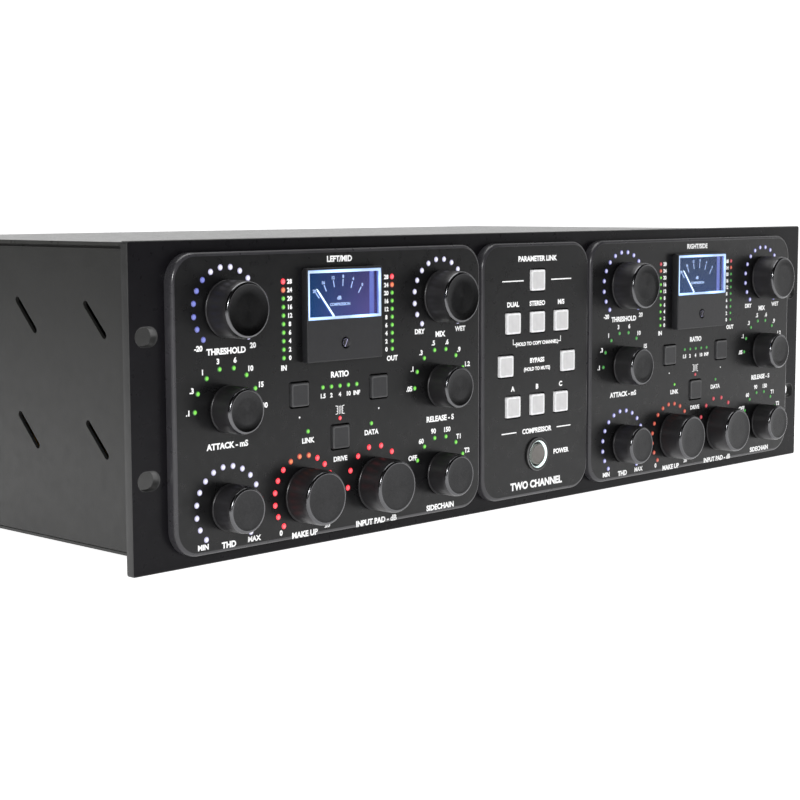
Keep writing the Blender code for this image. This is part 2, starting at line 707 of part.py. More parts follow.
def control_board_parts(mesh):
    for side_x in SIDES.values():
        for x, z, _ in CHANNEL_KNOBS.values():
            encoder(mesh, side_x + x, z)
        for x, z in CHANNEL_BUTTONS.values():
            switch(mesh, side_x + x, z)
    for x, z in CENTRE_BUTTONS.values():
        switch(mesh, x, z)
    switch(mesh, 0.0, POWER_Z, 2.0 * SWITCH_HALF, BUTTON_END + POWER_TRAVEL + GAP)
    for x in (-198.0 * MM, -44.0 * MM, 44.0 * MM, 198.0 * MM):
        for z in (-22.0 * MM, 18.0 * MM):
            standoff(mesh, x, z)


def make_control_board(shop):
    low = (-CONTROL_BOARD_HALF_WIDTH, CONTROL_BOARD_BOTTOM)
    high = (CONTROL_BOARD_HALF_WIDTH, CONTROL_BOARD_TOP)
    back = CONTROL_BOARD_FRONT + BOARD_THICKNESS
    board = shop.piece(
        "control_board",
        "board_green",
        lambda m: plain_slab(m, rectangle(low, high), CONTROL_BOARD_FRONT, back),
    )
    shop.combine(board, "UNION", control_board_parts)


def capacitor(mesh, x, y, radius, height):
    foot = MAIN_BOARD_BOTTOM + BOARD_THICKNESS - GAP
    profile = ((0.0, foot), (radius, foot), (radius, foot + height), (0.0, foot + height))
    turned(mesh, profile, 12, (x, y, 0.0), (0, 0, 1))


def main_board_parts(mesh):
    """Smoothing capacitors, the heat sink, signal modules and the feet under the board."""
    for x in (-70.0 * MM, -45.0 * MM):
        for y in (130.0 * MM, 160.0 * MM, 190.0 * MM):
            capacitor(mesh, x, y, 10.0 * MM, 32.0 * MM)
    top = MAIN_BOARD_BOTTOM + BOARD_THICKNESS - GAP
    block(mesh, (-20.0 * MM, 120.0 * MM, top), (-8.0 * MM, 200.0 * MM, top + 40.0 * MM))
    for x in (-160.0 * MM, -60.0 * MM, 40.0 * MM, 140.0 * MM):
        block(mesh, (x - 30.0 * MM, 40.0 * MM, top), (x + 30.0 * MM, 80.0 * MM, top + 12.0 * MM))
    floor = BASE_BOTTOM + BASE_THICKNESS + GAP
    for x in (-200.0 * MM, 200.0 * MM):
        for y in (30.0 * MM, 100.0 * MM):
            foot = ((0.0, floor), (3.5 * MM, floor), (3.5 * MM, MAIN_BOARD_BOTTOM + GAP))
            foot += ((0.0, MAIN_BOARD_BOTTOM + GAP),)
            turned(mesh, foot, 8, (x, y, 0.0), (0, 0, 1))


def make_main_board(shop):
    """An L-shaped board that leaves the mains transformer's corner free."""
    side = 210.0 * MM
    corner_x = -88.0 * MM
    outline = [(-side, 25.0 * MM), (side, 25.0 * MM), (side, 208.0 * MM)]
    outline += [(corner_x, 208.0 * MM), (corner_x, 112.0 * MM), (-side, 112.0 * MM)]
    top = MAIN_BOARD_BOTTOM + BOARD_THICKNESS
    board = shop.piece(
        "main_board",
        "board_green",
        lambda m: plain_slab(m, outline, MAIN_BOARD_BOTTOM, top, (), LEVEL_PLANE),
    )
    shop.combine(board, "UNION", main_board_parts)


def make_transformers(shop):
    """The mains toroid, with its clamping plate and bolt, and an output transformer per channel."""
    foot = BASE_BOTTOM + BASE_THICKNESS + GAP
    edge = 6.0 * MM
    top = foot + TOROID_HEIGHT
    profile = (
        (0.0, foot),
        (TOROID_RADIUS - edge, foot),
        (TOROID_RADIUS, foot + edge),
        (TOROID_RADIUS, top - edge),
        (TOROID_RADIUS - edge, top),
        (24.0 * MM, top),
        (22.0 * MM, top + 1.5 * MM),
        (6.0 * MM, top + 1.5 * MM),
        (5.0 * MM, top + 6.0 * MM),
        (0.0, top + 6.0 * MM),
    )
    shop.piece(
        "toroidal_transformer",
        "winding_amber",
        lambda m: turned(m, profile, 24, (0.0, 0.0, 0.0), (0, 0, 1)),
        (*TOROID_PLACE, 0.0),
        smooth=True,
    )
    board_top = MAIN_BOARD_BOTTOM + BOARD_THICKNESS + GAP
    width, depth, height = OUTPUT_TRANSFORMER_SIZE
    for side, x in zip(("right", "left"), OUTPUT_TRANSFORMER_X):
        outline = rounded_rectangle((-0.5 * width, -0.5 * depth), (0.5 * width, 0.5 * depth), 4.0 * MM, 3)
        shop.piece(
            f"{side}_output_transformer",
            "can_steel",
            lambda m: plain_slab(m, outline, board_top, board_top + height, (), LEVEL_PLANE),
            (x, 165.0 * MM, 0.0),
        )


# ---------------------------------------------------------------- rear connectors
def socket_flange(mesh):
    half_x, half_z = 0.5 * SOCKET_FLANGE[0], 0.5 * SOCKET_FLANGE[1]
    outline = rounded_rectangle((-half_x, -half_z), (half_x, half_z), 2.0 * MM, 2)
    plain_slab(mesh, outline, FLANGE_FRONT, REAR_MOST)


def pins(mesh, radius, start, stop):
    """Three contacts on a circle, two above and one below."""
    for degrees in (35.0, 145.0, 270.0):
        angle = math.radians(degrees)
        place = (4.6 * MM * math.cos(angle), 0.0, 4.6 * MM * math.sin(angle))
        turned(mesh, ((0.0, start), (radius, start), (radius, stop), (0.0, stop)), 8, place)


def make_socket(shop, name, x):
    """Round connector body through the rear panel, with its flange outside."""
    front = REAR_MOST - SOCKET_DEPTH
    back = REAR_MOST - 0.5 * MM
    body = ((0.0, front), (SOCKET_RADIUS, front), (SOCKET_RADIUS, back), (0.0, back))
    socket = shop.piece(name, "socket_metal", socket_flange, (x, 0.0, SOCKET_Z))
    shop.combine(socket, "UNION", lambda m: turned(m, body, 16))
    return socket


def make_sockets(shop):
    for side, x in INPUT_SOCKET_X.items():
        socket = make_socket(shop, f"{side}_input_socket", x)
        start = REAR_MOST - 13.0 * MM
        shop.combine(socket, "DIFFERENCE", lambda m: pins(m, 1.6 * MM, start, REAR_MOST + MM))
    for side, x in OUTPUT_SOCKET_X.items():
        socket = make_socket(shop, f"{side}_output_socket", x)
        bottom = REAR_MOST - 15.0 * MM
        bore = ((0.0, bottom), (9.0 * MM, bottom), (9.0 * MM, REAR_MOST + MM), (0.0, REAR_MOST + MM))
        shop.combine(socket, "DIFFERENCE", lambda m: turned(m, bore, 16))
        shop.combine(socket, "UNION", lambda m: pins(m, 1.2 * MM, bottom - MM, REAR_MOST - 2.0 * MM))


def make_power_inlet(shop):
    """Three-pole appliance inlet: flange, body, recess and blades."""
    def centred(size):
        return rectangle((-0.5 * size[0], -0.5 * size[1]), (0.5 * size[0], 0.5 * size[1]))

    inlet = shop.piece(
        "power_inlet",
        "socket_plastic",
        lambda m: plain_slab(m, centred(INLET_FLANGE), FLANGE_FRONT, REAR_MOST),
        (INLET_X, 0.0, INLET_Z),
    )
    front = REAR_MOST - 22.0 * MM
    floor = REAR_MOST - 17.0 * MM
    middle = REAR_MOST - 0.5 * MM
    shop.combine(inlet, "UNION", lambda m: plain_slab(m, centred(INLET_BODY), front, middle))
    shop.combine(inlet, "DIFFERENCE", lambda m: plain_slab(m, centred(INLET_RECESS), floor, REAR_MOST + MM))

    def blades(mesh):
        for x, z in ((-7.0 * MM, -1.0 * MM), (7.0 * MM, -1.0 * MM), (0.0, 3.0 * MM)):
            low = (x - 1.0 * MM, floor - MM, z - 2.0 * MM)
            block(mesh, low, (x + 1.0 * MM, REAR_MOST - 2.0 * MM, z + 2.0 * MM))

    shop.combine(inlet, "UNION", blades)


# ---------------------------------------------------------------- assembly
def clear_scene():
    for thing in list(bpy.data.objects):
        bpy.data.objects.remove(thing, do_unlink=True)


def assembly_frame():
    """The empty that holds the unit: on z = 0, centred between the knobs and the rear sockets."""
    frame = bpy.data.objects.new("assembly_frame", None)
    bpy.context.scene.collection.objects.link(frame)
    frame.location = (0.0, -0.5 * (LARGE_KNOB_FACE + REAR_MOST), 0.5 * PANEL_HEIGHT)
    return frame


def main():
    clear_scene()
    shop = Workshop(assembly_frame(), make_materials())
    make_front_panel(shop)
    make_fascias(shop)
    make_knobs(shop)
    make_buttons(shop)
    make_power_button(shop)
    make_meters(shop)
    make_base_and_cover(shop)
    make_side_panels(shop)
    make_rear_panel(shop)
    make_control_board(shop)
    make_main_board(shop)
    make_transformers(shop)
    make_sockets(shop)
    make_power_inlet(shop)
    bpy.context.view_layer.update()


main()
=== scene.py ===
import json
from functools import partial
from math import asin, cos, pi, radians, sin

import bmesh
import bpy
from mathutils import Euler, Matrix, Vector


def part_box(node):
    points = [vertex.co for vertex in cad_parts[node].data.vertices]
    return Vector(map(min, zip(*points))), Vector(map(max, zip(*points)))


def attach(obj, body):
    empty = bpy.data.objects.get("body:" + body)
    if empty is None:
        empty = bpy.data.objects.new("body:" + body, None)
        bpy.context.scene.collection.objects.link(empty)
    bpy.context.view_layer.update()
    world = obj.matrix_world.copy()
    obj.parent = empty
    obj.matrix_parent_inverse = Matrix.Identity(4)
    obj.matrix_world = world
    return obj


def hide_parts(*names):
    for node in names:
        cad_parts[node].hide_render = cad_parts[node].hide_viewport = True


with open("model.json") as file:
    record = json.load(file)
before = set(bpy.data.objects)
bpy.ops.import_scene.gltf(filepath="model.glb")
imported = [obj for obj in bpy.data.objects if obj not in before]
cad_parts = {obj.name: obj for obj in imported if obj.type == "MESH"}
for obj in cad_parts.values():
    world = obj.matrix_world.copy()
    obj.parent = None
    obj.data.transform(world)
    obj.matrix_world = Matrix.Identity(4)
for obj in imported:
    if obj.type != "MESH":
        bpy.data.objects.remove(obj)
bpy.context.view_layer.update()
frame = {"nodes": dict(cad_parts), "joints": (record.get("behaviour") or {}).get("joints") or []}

MM = 0.001
NODES = frame["nodes"]

# The panel's centre, on the front face of the base panel: every place below is given from it, in mm
PANEL_LOW, PANEL_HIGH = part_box("front_panel")
PANEL_CENTRE = Vector((0.5 * (PANEL_LOW.x + PANEL_HIGH.x), PANEL_LOW.y, 0.5 * (PANEL_LOW.z + PANEL_HIGH.z)))


def at(x, y, z):
    """A point in mm from the panel's centre, in the row frame."""
    return PANEL_CENTRE + Vector((x, y, z)) * MM


def local_box(node):
    """A CAD node's lowest and highest corners in mm from the panel's centre."""
    low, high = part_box(node)
    return (low - PANEL_CENTRE) / MM, (high - PANEL_CENTRE) / MM


def middle(node):
    low, high = local_box(node)
    return 0.5 * (low + high)


SIDES = {side: middle(f"{side}_fascia").x for side in ("left", "right")}
FASCIA_Y = local_box("left_fascia")[0].y
PANEL_BACK = local_box("front_panel")[1].y
JOINT_PLACE = {j["child"]: (Vector(j["pos_m"]) - PANEL_CENTRE) / MM for j in frame["joints"] if "pos_m" in j}

# Sizes in mm that several pieces share
SKIN = 0.02  # how far a piece on a surface sinks into it, or stays clear of the next
BUTTON_HALF = 5.0
FLANGE_HALF = 6.2
FLANGE_DEPTH = 1.0
STEM_HALF = 1.5
CAP_CLEARANCE = 0.3  # between a flange and what is in front of it
BEZEL_BODY = 7.2

# Rings of light guides as (first angle, last angle, count), in degrees clockwise from the top
FULL_RING = (-135.0, 135.0, 16)
HALF_RING = (-90.0, 90.0, 8)
SHORT_RING = (-64.3, 90.0, 7)
RING_RADIUS = 16.9


# ---------------------------------------------------------------- node materials
MIX_FIRST, MIX_SECOND, MIX_RESULT = 6, 7, 2  # the colour sockets of a Mix node


class Nodes:
    """A node tree with a few helpers."""

    def __init__(self, made):
        self.made = made
        made.use_nodes = True
        self.tree = made.node_tree

    def add(self, kind, **values):
        node = self.tree.nodes.new(kind)
        for name, value in values.items():
            setattr(node, name, value)
        return node

    def link(self, source, target):
        self.tree.links.new(source, target)

    def spread(self, value, low, high, start=0.3, stop=0.7):
        """value moved from start..stop to low..high."""
        node = self.add("ShaderNodeMapRange")
        for name, number in (("From Min", start), ("From Max", stop), ("To Min", low), ("To Max", high)):
            node.inputs[name].default_value = number
        self.link(value, node.inputs["Value"])
        return node.outputs["Result"]


class Finish(Nodes):
    """A Principled material: its colour, gloss, relief and glow."""

    def __init__(self, name, colour, roughness, metallic=0.0, specular=0.5):
        super().__init__(bpy.data.materials.new(name))
        self.shader = self.tree.nodes["Principled BSDF"]
        self.colour = colour
        self.set("Base Color", (*colour, 1.0))
        self.set("Roughness", roughness)
        self.set("Metallic", metallic)
        self.set("Specular IOR Level", specular)
        self.place = self.add("ShaderNodeTexCoord").outputs["Object"]

    def set(self, socket, value):
        self.shader.inputs[socket].default_value = value

    def feed(self, socket, source):
        """Links a value to one of the shader's inputs."""
        self.link(source, self.shader.inputs[socket])

    def noise(self, scale, detail, stretch=(1.0, 1.0, 1.0)):
        """Noise in object space: scale in lumps per metre."""
        mapping = self.add("ShaderNodeMapping")
        mapping.inputs["Scale"].default_value = stretch
        self.link(self.place, mapping.inputs["Vector"])
        node = self.add("ShaderNodeTexNoise")
        node.inputs["Scale"].default_value = scale
        node.inputs["Detail"].default_value = detail
        self.link(mapping.outputs["Vector"], node.inputs["Vector"])
        return node.outputs["Fac"]

    def mix(self, level, first, second):
        """A colour from first to second, by level."""
        node = self.add("ShaderNodeMix", data_type="RGBA")
        for socket, colour in ((MIX_FIRST, first), (MIX_SECOND, second)):
            node.inputs[socket].default_value = (*colour, 1.0)
        self.link(level, node.inputs[0])
        return node.outputs[MIX_RESULT]

    def combine(self, operation, first, second):
        """The sum or product of two linked values."""
        node = self.add("ShaderNodeMath", operation=operation)
        self.link(first, node.inputs[0])
        self.link(second, node.inputs[1])
        return node.outputs[0]

    def split(self):
        """The object-space place as X, Y and Z."""
        node = self.add("ShaderNodeSeparateXYZ")
        self.link(self.place, node.inputs["Vector"])
        return node.outputs

    def mottle(self, value, light, dark):
        """The base colour times dark..light, by value."""
        shades = [[c * share for c in self.colour] for share in (dark, light)]
        self.feed("Base Color", self.mix(self.spread(value, 0.0, 1.0), *shades))

    def rough(self, value, low, high):
        self.feed("Roughness", self.spread(value, low, high))

    def bump(self, value, height, strength):
        """height in metres."""
        node = self.add("ShaderNodeBump")
        node.inputs["Strength"].default_value = strength
        node.inputs["Distance"].default_value = height
        self.link(value, node.inputs["Height"])
        self.feed("Normal", node.outputs["Normal"])

    def glow(self, colour, strength):
        self.set("Emission Color", (*colour, 1.0))
        self.set("Emission Strength", strength)


def painted(name, colour, roughness, grain, height, specular=0.5, metallic=0.0):
    """Powder coat or matt anodising: fine grain, faint clouds in colour and in gloss."""
    finish = Finish(name, colour, roughness, metallic, specular)
    finish.mottle(finish.noise(70.0, 4.0), 1.12, 0.9)
    finish.rough(finish.noise(240.0, 3.0), roughness - 0.04, roughness + 0.05)
    finish.bump(finish.noise(grain, 2.0), height, 0.5)
    return finish.made


def turned_metal(name, colour, roughness):
    """Anodised metal turned about Y on a lathe: fine rings and a circular sheen."""
    finish = Finish(name, colour, roughness, 1.0)
    finish.set("Anisotropic", 0.82)
    tangent = finish.add("ShaderNodeTangent", direction_type="RADIAL", axis="Y")
    finish.feed("Tangent", tangent.outputs["Tangent"])
    finish.mottle(finish.noise(900.0, 2.0), 1.08, 0.94)
    rings = finish.add("ShaderNodeTexWave", wave_type="RINGS", rings_direction="Y", wave_profile="SAW")
    rings.inputs["Scale"].default_value = 900.0
    rings.inputs["Distortion"].default_value = 0.6
    finish.link(finish.place, rings.inputs["Vector"])
    finish.bump(rings.outputs["Fac"], 4e-6, 0.35)
    return finish.made


def moulded(name, colour, roughness, specular=0.5, height=1e-5, lift=1.08):
    """Moulded plastic with a fine spark-eroded texture."""
    finish = Finish(name, colour, roughness, 0.0, specular)
    finish.mottle(finish.noise(400.0, 3.0), lift, 2.0 - lift)
    finish.rough(finish.noise(900.0, 2.0), roughness - 0.03, roughness + 0.05)
    finish.bump(finish.noise(3500.0, 2.0), height, 0.6)
    return finish.made


def plated(name, colour, roughness, stretch=(1.0, 1.0, 1.0)):
    """Plated or brushed metal: streaks along the axis that stretch leaves at 1."""
    finish = Finish(name, colour, roughness, 1.0)
    streaks = finish.noise(1400.0, 4.0, stretch)
    finish.mottle(streaks, 1.1, 0.88)
    finish.rough(streaks, roughness - 0.06, roughness + 0.08)
    finish.bump(streaks, 6e-6, 0.5)
    return finish.made


def lit(name, colour, strength, base=(0.5, 0.5, 0.5)):
    """A glowing plastic part, a little uneven, as frosted plastic is: a light guide, or a part whose glow is
    painted light.
    """
    finish = Finish(name, base, 0.35)
    finish.mottle(finish.noise(1500.0, 2.0), 1.1, 0.85)
    finish.rough(finish.noise(2500.0, 2.0), 0.28, 0.42)
    finish.glow(colour, strength)
    return finish.made


def printed(name, colour):
    """Screen-printed ink: matt, slightly uneven in density."""
    finish = Finish(name, colour, 0.55, 0.0, 0.3)
    finish.mottle(finish.noise(2600.0, 3.0), 1.05, 0.88)
    finish.bump(finish.noise(5000.0, 2.0), 4e-6, 0.5)
    # A glow: painted light that brightens the ink.
    finish.glow(colour, 0.35)
    return finish.made


def clear_plastic(name):
    """Clear moulded cover: smooth, with a trace of haze."""
    finish = Finish(name, (0.93, 0.97, 1.0), 0.03)
    finish.set("Transmission Weight", 1.0)
    finish.set("IOR", 1.2)
    finish.mottle(finish.noise(60.0, 2.0), 1.0, 0.96)
    finish.rough(finish.noise(120.0, 3.0), 0.01, 0.05)
    return finish.made


def edge_light(name, colour, strength, spots):
    """A lit edge: brighter round each spot, given in mm from the piece's own origin."""
    finish = Finish(name, (0.4, 0.4, 0.4), 0.2)
    level = finish.add("ShaderNodeValue").outputs[0]
    level.default_value = strength
    for x, z, reach, extra in spots:
        away = finish.add("ShaderNodeVectorMath", operation="DISTANCE")
        away.inputs[1].default_value = (x * MM, WINDOW_SPOT_Y * MM, z * MM)
        finish.link(finish.place, away.inputs[0])
        here = finish.spread(away.outputs["Value"], extra, 0.0, 0.001, reach * MM)
        level = finish.combine("ADD", level, here)
    finish.rough(finish.noise(900.0, 2.0), 0.15, 0.3)
    finish.set("Emission Color", (*colour, 1.0))
    finish.feed("Emission Strength", level)
    return finish.made


def dial_glow(name, start, stop):
    """Backlit dial: its glow goes from one colour at its left to another at its right, darker towards the top;
    on the left dial the violet at the right is a painted reflection.
    """
    finish = Finish(name, (0.01, 0.02, 0.05), 0.6, 0.0, 0.1)
    place = finish.split()
    finish.feed("Emission Color", finish.mix(finish.spread(place["X"], 0.0, 1.0, -0.019, 0.018), start, stop))
    finish.feed("Emission Strength", finish.spread(place["Z"], 1.25, 0.6, 0.004, 0.025))
    finish.bump(finish.noise(4000.0, 2.0), 4e-6, 0.4)
    return finish.made


def make_finishes():
    """The unit's materials by name; make_lights adds those of the light guides."""
    green_board = Finish("solder_mask", (0.012, 0.09, 0.035), 0.35)
    green_board.mottle(green_board.noise(300.0, 5.0), 1.6, 0.7)
    green_board.bump(green_board.noise(900.0, 2.0), 2e-5, 0.4)
    winding = Finish("winding_tape", (0.5, 0.25, 0.03), 0.3)
    winding.mottle(winding.noise(220.0, 4.0, (1.0, 1.0, 5.0)), 1.3, 0.7)
    winding.bump(winding.noise(260.0, 2.0, (1.0, 1.0, 6.0)), 0.0003, 0.6)
    white_cap = Finish("white_button", (0.62, 0.615, 0.62), 0.4)
    white_cap.mottle(white_cap.noise(400.0, 3.0), 1.05, 0.96)
    white_cap.rough(white_cap.noise(900.0, 2.0), 0.36, 0.46)
    white_cap.bump(white_cap.noise(3500.0, 2.0), 1e-5, 0.6)
    # A faint glow: painted light that brightens the white caps.
    white_cap.glow((1.0, 0.99, 1.0), 0.02)
    rows = {
        "panel": (painted, (0.007, 0.0066, 0.008), 0.3, 1800.0, 1e-6, 0.12),
        "fascia": (painted, (0.007, 0.007, 0.0075), 0.3, 2600.0, 3e-6, 0.3),
        # Painted highlight: the fascias' chamfers and sides are a lighter copy of their black face.
        "fascia_edge": (painted, (0.036, 0.035, 0.039), 0.3, 2600.0, 4e-6, 0.5),
        # Painted shade: the holes' walls are darker and duller than the fascia, for the shade in the gaps round
        # the controls.
        "hole_wall": (painted, (0.003, 0.003, 0.003), 0.5, 2600.0, 5e-6, 0.1),
        # Painted highlight: the panel's edges and its holes' walls are a lighter copy of its black face.
        "panel_edge": (painted, (0.035, 0.035, 0.035), 0.35, 2600.0, 1e-5, 0.5),
        "case": (painted, (0.017, 0.017, 0.016), 0.36, 1500.0, 4e-5, 0.42),
        "cover": (painted, (0.035, 0.035, 0.033), 0.3, 1500.0, 4e-6, 0.26),
        "knob_side": (painted, (0.03, 0.029, 0.031), 0.36, 4000.0, 5e-6, 0.5, 0.35),
        "knob_face": (turned_metal, (0.034, 0.034, 0.035), 0.17),
        "knob_edge": (painted, (0.12, 0.12, 0.125), 0.2, 5000.0, 2e-6, 0.5, 1.0),
        # Painted highlight: the white caps' raised rims are a lighter copy of the cap.
        "white_rim": (moulded, (0.86, 0.86, 0.87), 0.3),
        "black_cap": (moulded, (0.024, 0.024, 0.026), 0.42, 0.4),
        # Painted highlight: the dark caps' raised rims are a lighter copy of the cap.
        "black_rim": (moulded, (0.045, 0.045, 0.047), 0.35, 0.5),
        "meter": (moulded, (0.016, 0.016, 0.018), 0.4, 0.4),
        "window": (clear_plastic,),
        "window_light": (edge_light, (0.3, 0.55, 1.0), 0.75, WINDOW_SPOTS),
        "window_glow": (lit, (0.1, 0.13, 0.5), 1.0, (0.1, 0.1, 0.1)),
        # The violet at the left dial's right is a painted reflection.
        "left_dial": (dial_glow, (0.0, 0.04, 0.14), (0.085, 0.06, 0.2)),
        "right_dial": (dial_glow, (0.0, 0.03, 0.11), (0.0, 0.02, 0.09)),
        "dial_mark": (lit, (0.35, 0.55, 1.0), 0.7),
        # The needle's glow is painted light.
        "needle": (lit, (0.8, 0.95, 1.0), 1.15, (0.8, 0.8, 0.8)),
        # Painted shadow: the needle's blue shadow on the dial, carried on its left edge.
        "needle_edge": (lit, (0.02, 0.12, 0.5), 1.0, (0.02, 0.02, 0.05)),
        "power_cap": (moulded, (0.15, 0.14, 0.13), 0.4, 0.4),
        # Painted highlight: a lighter outline on the power bezel's outer edge.
        "thin_edge": (moulded, (0.12, 0.12, 0.122), 0.3, 0.5),
        "ink": (printed, (0.8, 0.8, 0.8)),
        "can": (plated, (0.5, 0.5, 0.51), 0.32, (1.0, 1.0, 12.0)),
        "socket": (plated, (0.16, 0.16, 0.165), 0.32),
        "socket_black": (moulded, (0.014, 0.014, 0.014), 0.45),
        "steel": (plated, (0.22, 0.22, 0.225), 0.3),
        "gold": (plated, (0.75, 0.52, 0.2), 0.25),
        "power_ring": (lit, (0.8, 1.0, 0.97), 1.2),
    }
    finishes = {key: make(key, *values) for key, (make, *values) in rows.items()}
    return finishes | {"white_cap": white_cap.made, "board": green_board.made, "winding": winding.made}


# Light guides by tone: the record's slot, the rim's colour and the core's
LED_TONES = {
    "white": ("led_white", (0.5, 0.48, 0.72), (0.95, 0.95, 1.0)),
    "blue": ("led_blue", (0.08, 0.09, 0.4), (0.22, 0.26, 0.75)),
    "lavender": ("led_blue", (0.2, 0.2, 0.55), (0.7, 0.7, 0.98)),
    "red": ("led_red", (1.5, 0.01, 0.04), (0.95, 0.16, 0.2)),
    "rose": ("led_red", (0.35, 0.01, 0.025), (0.7, 0.07, 0.1)),
    "orange": ("led_orange", (0.5, 0.03, 0.01), (1.0, 0.28, 0.1)),
    "ember": ("led_orange", (0.35, 0.02, 0.01), (0.75, 0.14, 0.07)),
    "green": ("led_green", (0.015, 0.2, 0.005), (0.22, 0.85, 0.06)),
    "leaf": ("led_green", (0.006, 0.1, 0.01), (0.04, 0.4, 0.04)),
}
# Bright spots along the meter windows' lit edges, in mm from the piece's origin: x, z, reach, extra
WINDOW_SPOTS = (
    (-4.0, 51.6, 15.0, 1.3),
    (11.0, 31.5, 9.0, 1.6),
    (-20.5, 36.0, 15.0, 0.9),
    (21.0, 47.0, 5.0, 0.8),
)
WINDOW_SPOT_Y = -8.0
FINISHES = make_finishes()


# ---------------------------------------------------------------- outlines, in mm
def arc(centre, radius, start, stop, steps):
    turn = (stop - start) / steps
    angles = [start + turn * i for i in range(steps + 1)]
    return [(centre[0] + radius * cos(angle), centre[1] + radius * sin(angle)) for angle in angles]


def circle(centre, radius, steps):
    return arc(centre, radius, 0.0, 2.0 * pi, steps)[:-1]


def rounded(low, high, radius, steps):
    """A rectangle with round corners."""
    near = (low[0] + radius, low[1] + radius)
    far = (high[0] - radius, high[1] - radius)
    points = []
    for k, centre in enumerate(((far[0], near[1]), far, (near[0], far[1]), near)):
        start = 0.5 * (k - 1)
        points += arc(centre, radius, start * pi, (start + 0.5) * pi, steps)
    return points


def centred(half_x, half_z, radius, steps, x=0.0, z=0.0):
    """A rectangle with round corners, from its middle."""
    return rounded((x - half_x, z - half_z), (x + half_x, z + half_z), radius, steps)


def shrunk(low, high, inset, radius, steps):
    """The front outline of a CAD box with round corners, inset on all sides."""
    return rounded((low.x + inset, low.z + inset), (high.x - inset, high.z - inset), radius - inset, steps)


def slot_outline(centre, length, width):
    """A rectangle with half-round ends."""
    reach = 0.5 * (length - width)
    right = arc((centre[0] + reach, centre[1]), 0.5 * width, -0.5 * pi, 0.5 * pi, 10)
    left = arc((centre[0] - reach, centre[1]), 0.5 * width, 0.5 * pi, 1.5 * pi, 10)
    return right + left


def prism(outline, near, far):
    """The two layers of a straight wall."""
    return [(outline, near), (outline, far)]


# ---------------------------------------------------------------- meshes, in mm
def front(u, v, depth):
    """A point of an outline in the panel's plane: u is X, v is Z, depth is Y."""
    return Vector((u, depth, v))


def ring_of(mesh, outline, depth):
    return [mesh.verts.new(front(u, v, depth)) for u, v in outline]


def band(mesh, first, second, index=0):
    for i in range(len(first)):
        face = mesh.faces.new((first[i - 1], first[i], second[i], second[i - 1]))
        face.material_index = index


def fill(mesh, rings, index=0):
    edges = []
    for ring in rings:
        for i in range(len(ring)):
            edges.append(mesh.edges.get((ring[i - 1], ring[i])) or mesh.edges.new((ring[i - 1], ring[i])))
    made = bmesh.ops.triangle_fill(mesh, use_beauty=True, edges=edges)
    for item in made["geom"]:
        if isinstance(item, bmesh.types.BMFace):
            item.material_index = index


def plate(mesh, layers, holes=(), side=0, bore=0):
    """A plate from its layers (outline, depth), front to back; each hole is a list of layers too.

    side and bore are the materials of the outer wall and of the holes' walls.
    """
    outer = [ring_of(mesh, outline, depth) for outline, depth in layers]
    inner = [[ring_of(mesh, outline, depth) for outline, depth in hole] for hole in holes]
    for rings in [outer] + inner:
        for first, second in zip(rings, rings[1:]):
            band(mesh, first, second, side if rings is outer else bore)
    fill(mesh, [outer[0]] + [rings[0] for rings in inner])
    fill(mesh, [outer[-1]] + [rings[-1] for rings in inner])


def stack(mesh, layers, indices=None):
    """A solid from layers of outlines, closed at both ends; indices gives each band's material."""
    rings = [ring_of(mesh, outline, depth) for outline, depth in layers]
    indices = indices or [0] * (len(rings) + 1)
    fill(mesh, [rings[0]], indices[0])
    for i, (first, second) in enumerate(zip(rings, rings[1:])):
        band(mesh, first, second, indices[i + 1])
    fill(mesh, [rings[-1]], indices[-1])


def spin(mesh, profile, steps, centre=(0.0, 0.0, 0.0), closed=False, indices=None):
    """A turned solid about Y: (radius, y) points; a point on the axis becomes one vertex."""
    rings = []
    for radius, depth in profile:
        if radius < 1e-6:
            rings.append([mesh.verts.new(Vector(centre) + Vector((0.0, depth, 0.0)))])
            continue
        points = circle((0.0, 0.0), radius, steps)
        rings.append([mesh.verts.new(Vector(centre) + front(u, v, depth)) for u, v in points])
    pairs = list(zip(rings, rings[1:]))
    if closed:
        pairs.append((rings[-1], rings[0]))
    for k, (first, second) in enumerate(pairs):
        index = indices[k] if indices else 0
        for i in range(steps):
            corners = [first[(i - 1) % len(first)], first[i % len(first)]]
            corners += [second[i % len(second)], second[(i - 1) % len(second)]]
            distinct = list(dict.fromkeys(corners))
            mesh.faces.new(distinct).material_index = index


def brick(mesh, low, high):
    """A box between two corners."""
    made = bmesh.ops.create_cube(mesh, size=1.0)["verts"]
    for vertex in made:
        for axis in range(3):
            vertex.co[axis] = low[axis] if vertex.co[axis] < 0.0 else high[axis]
    return made


def soft_brick(mesh, low, high, width):
    """A box with rounded edges."""
    edges = list({edge for vertex in brick(mesh, low, high) for edge in vertex.link_edges})
    bmesh.ops.bevel(mesh, geom=edges, offset=width, segments=3, profile=0.5, affect="EDGES")


def mark_edges(mesh, angle):
    """Sharp where faces meet steeply, and where a flat front or back meets anything else."""
    for face in mesh.faces:
        face.smooth = True
    for edge in mesh.edges:
        if len(edge.link_faces) != 2:
            edge.smooth = False
            continue
        first, second = (face.normal for face in edge.link_faces)
        level = (abs(first.y) > 0.9999) == (abs(second.y) > 0.9999)
        edge.smooth = level and first.angle(second, 0.0) < angle


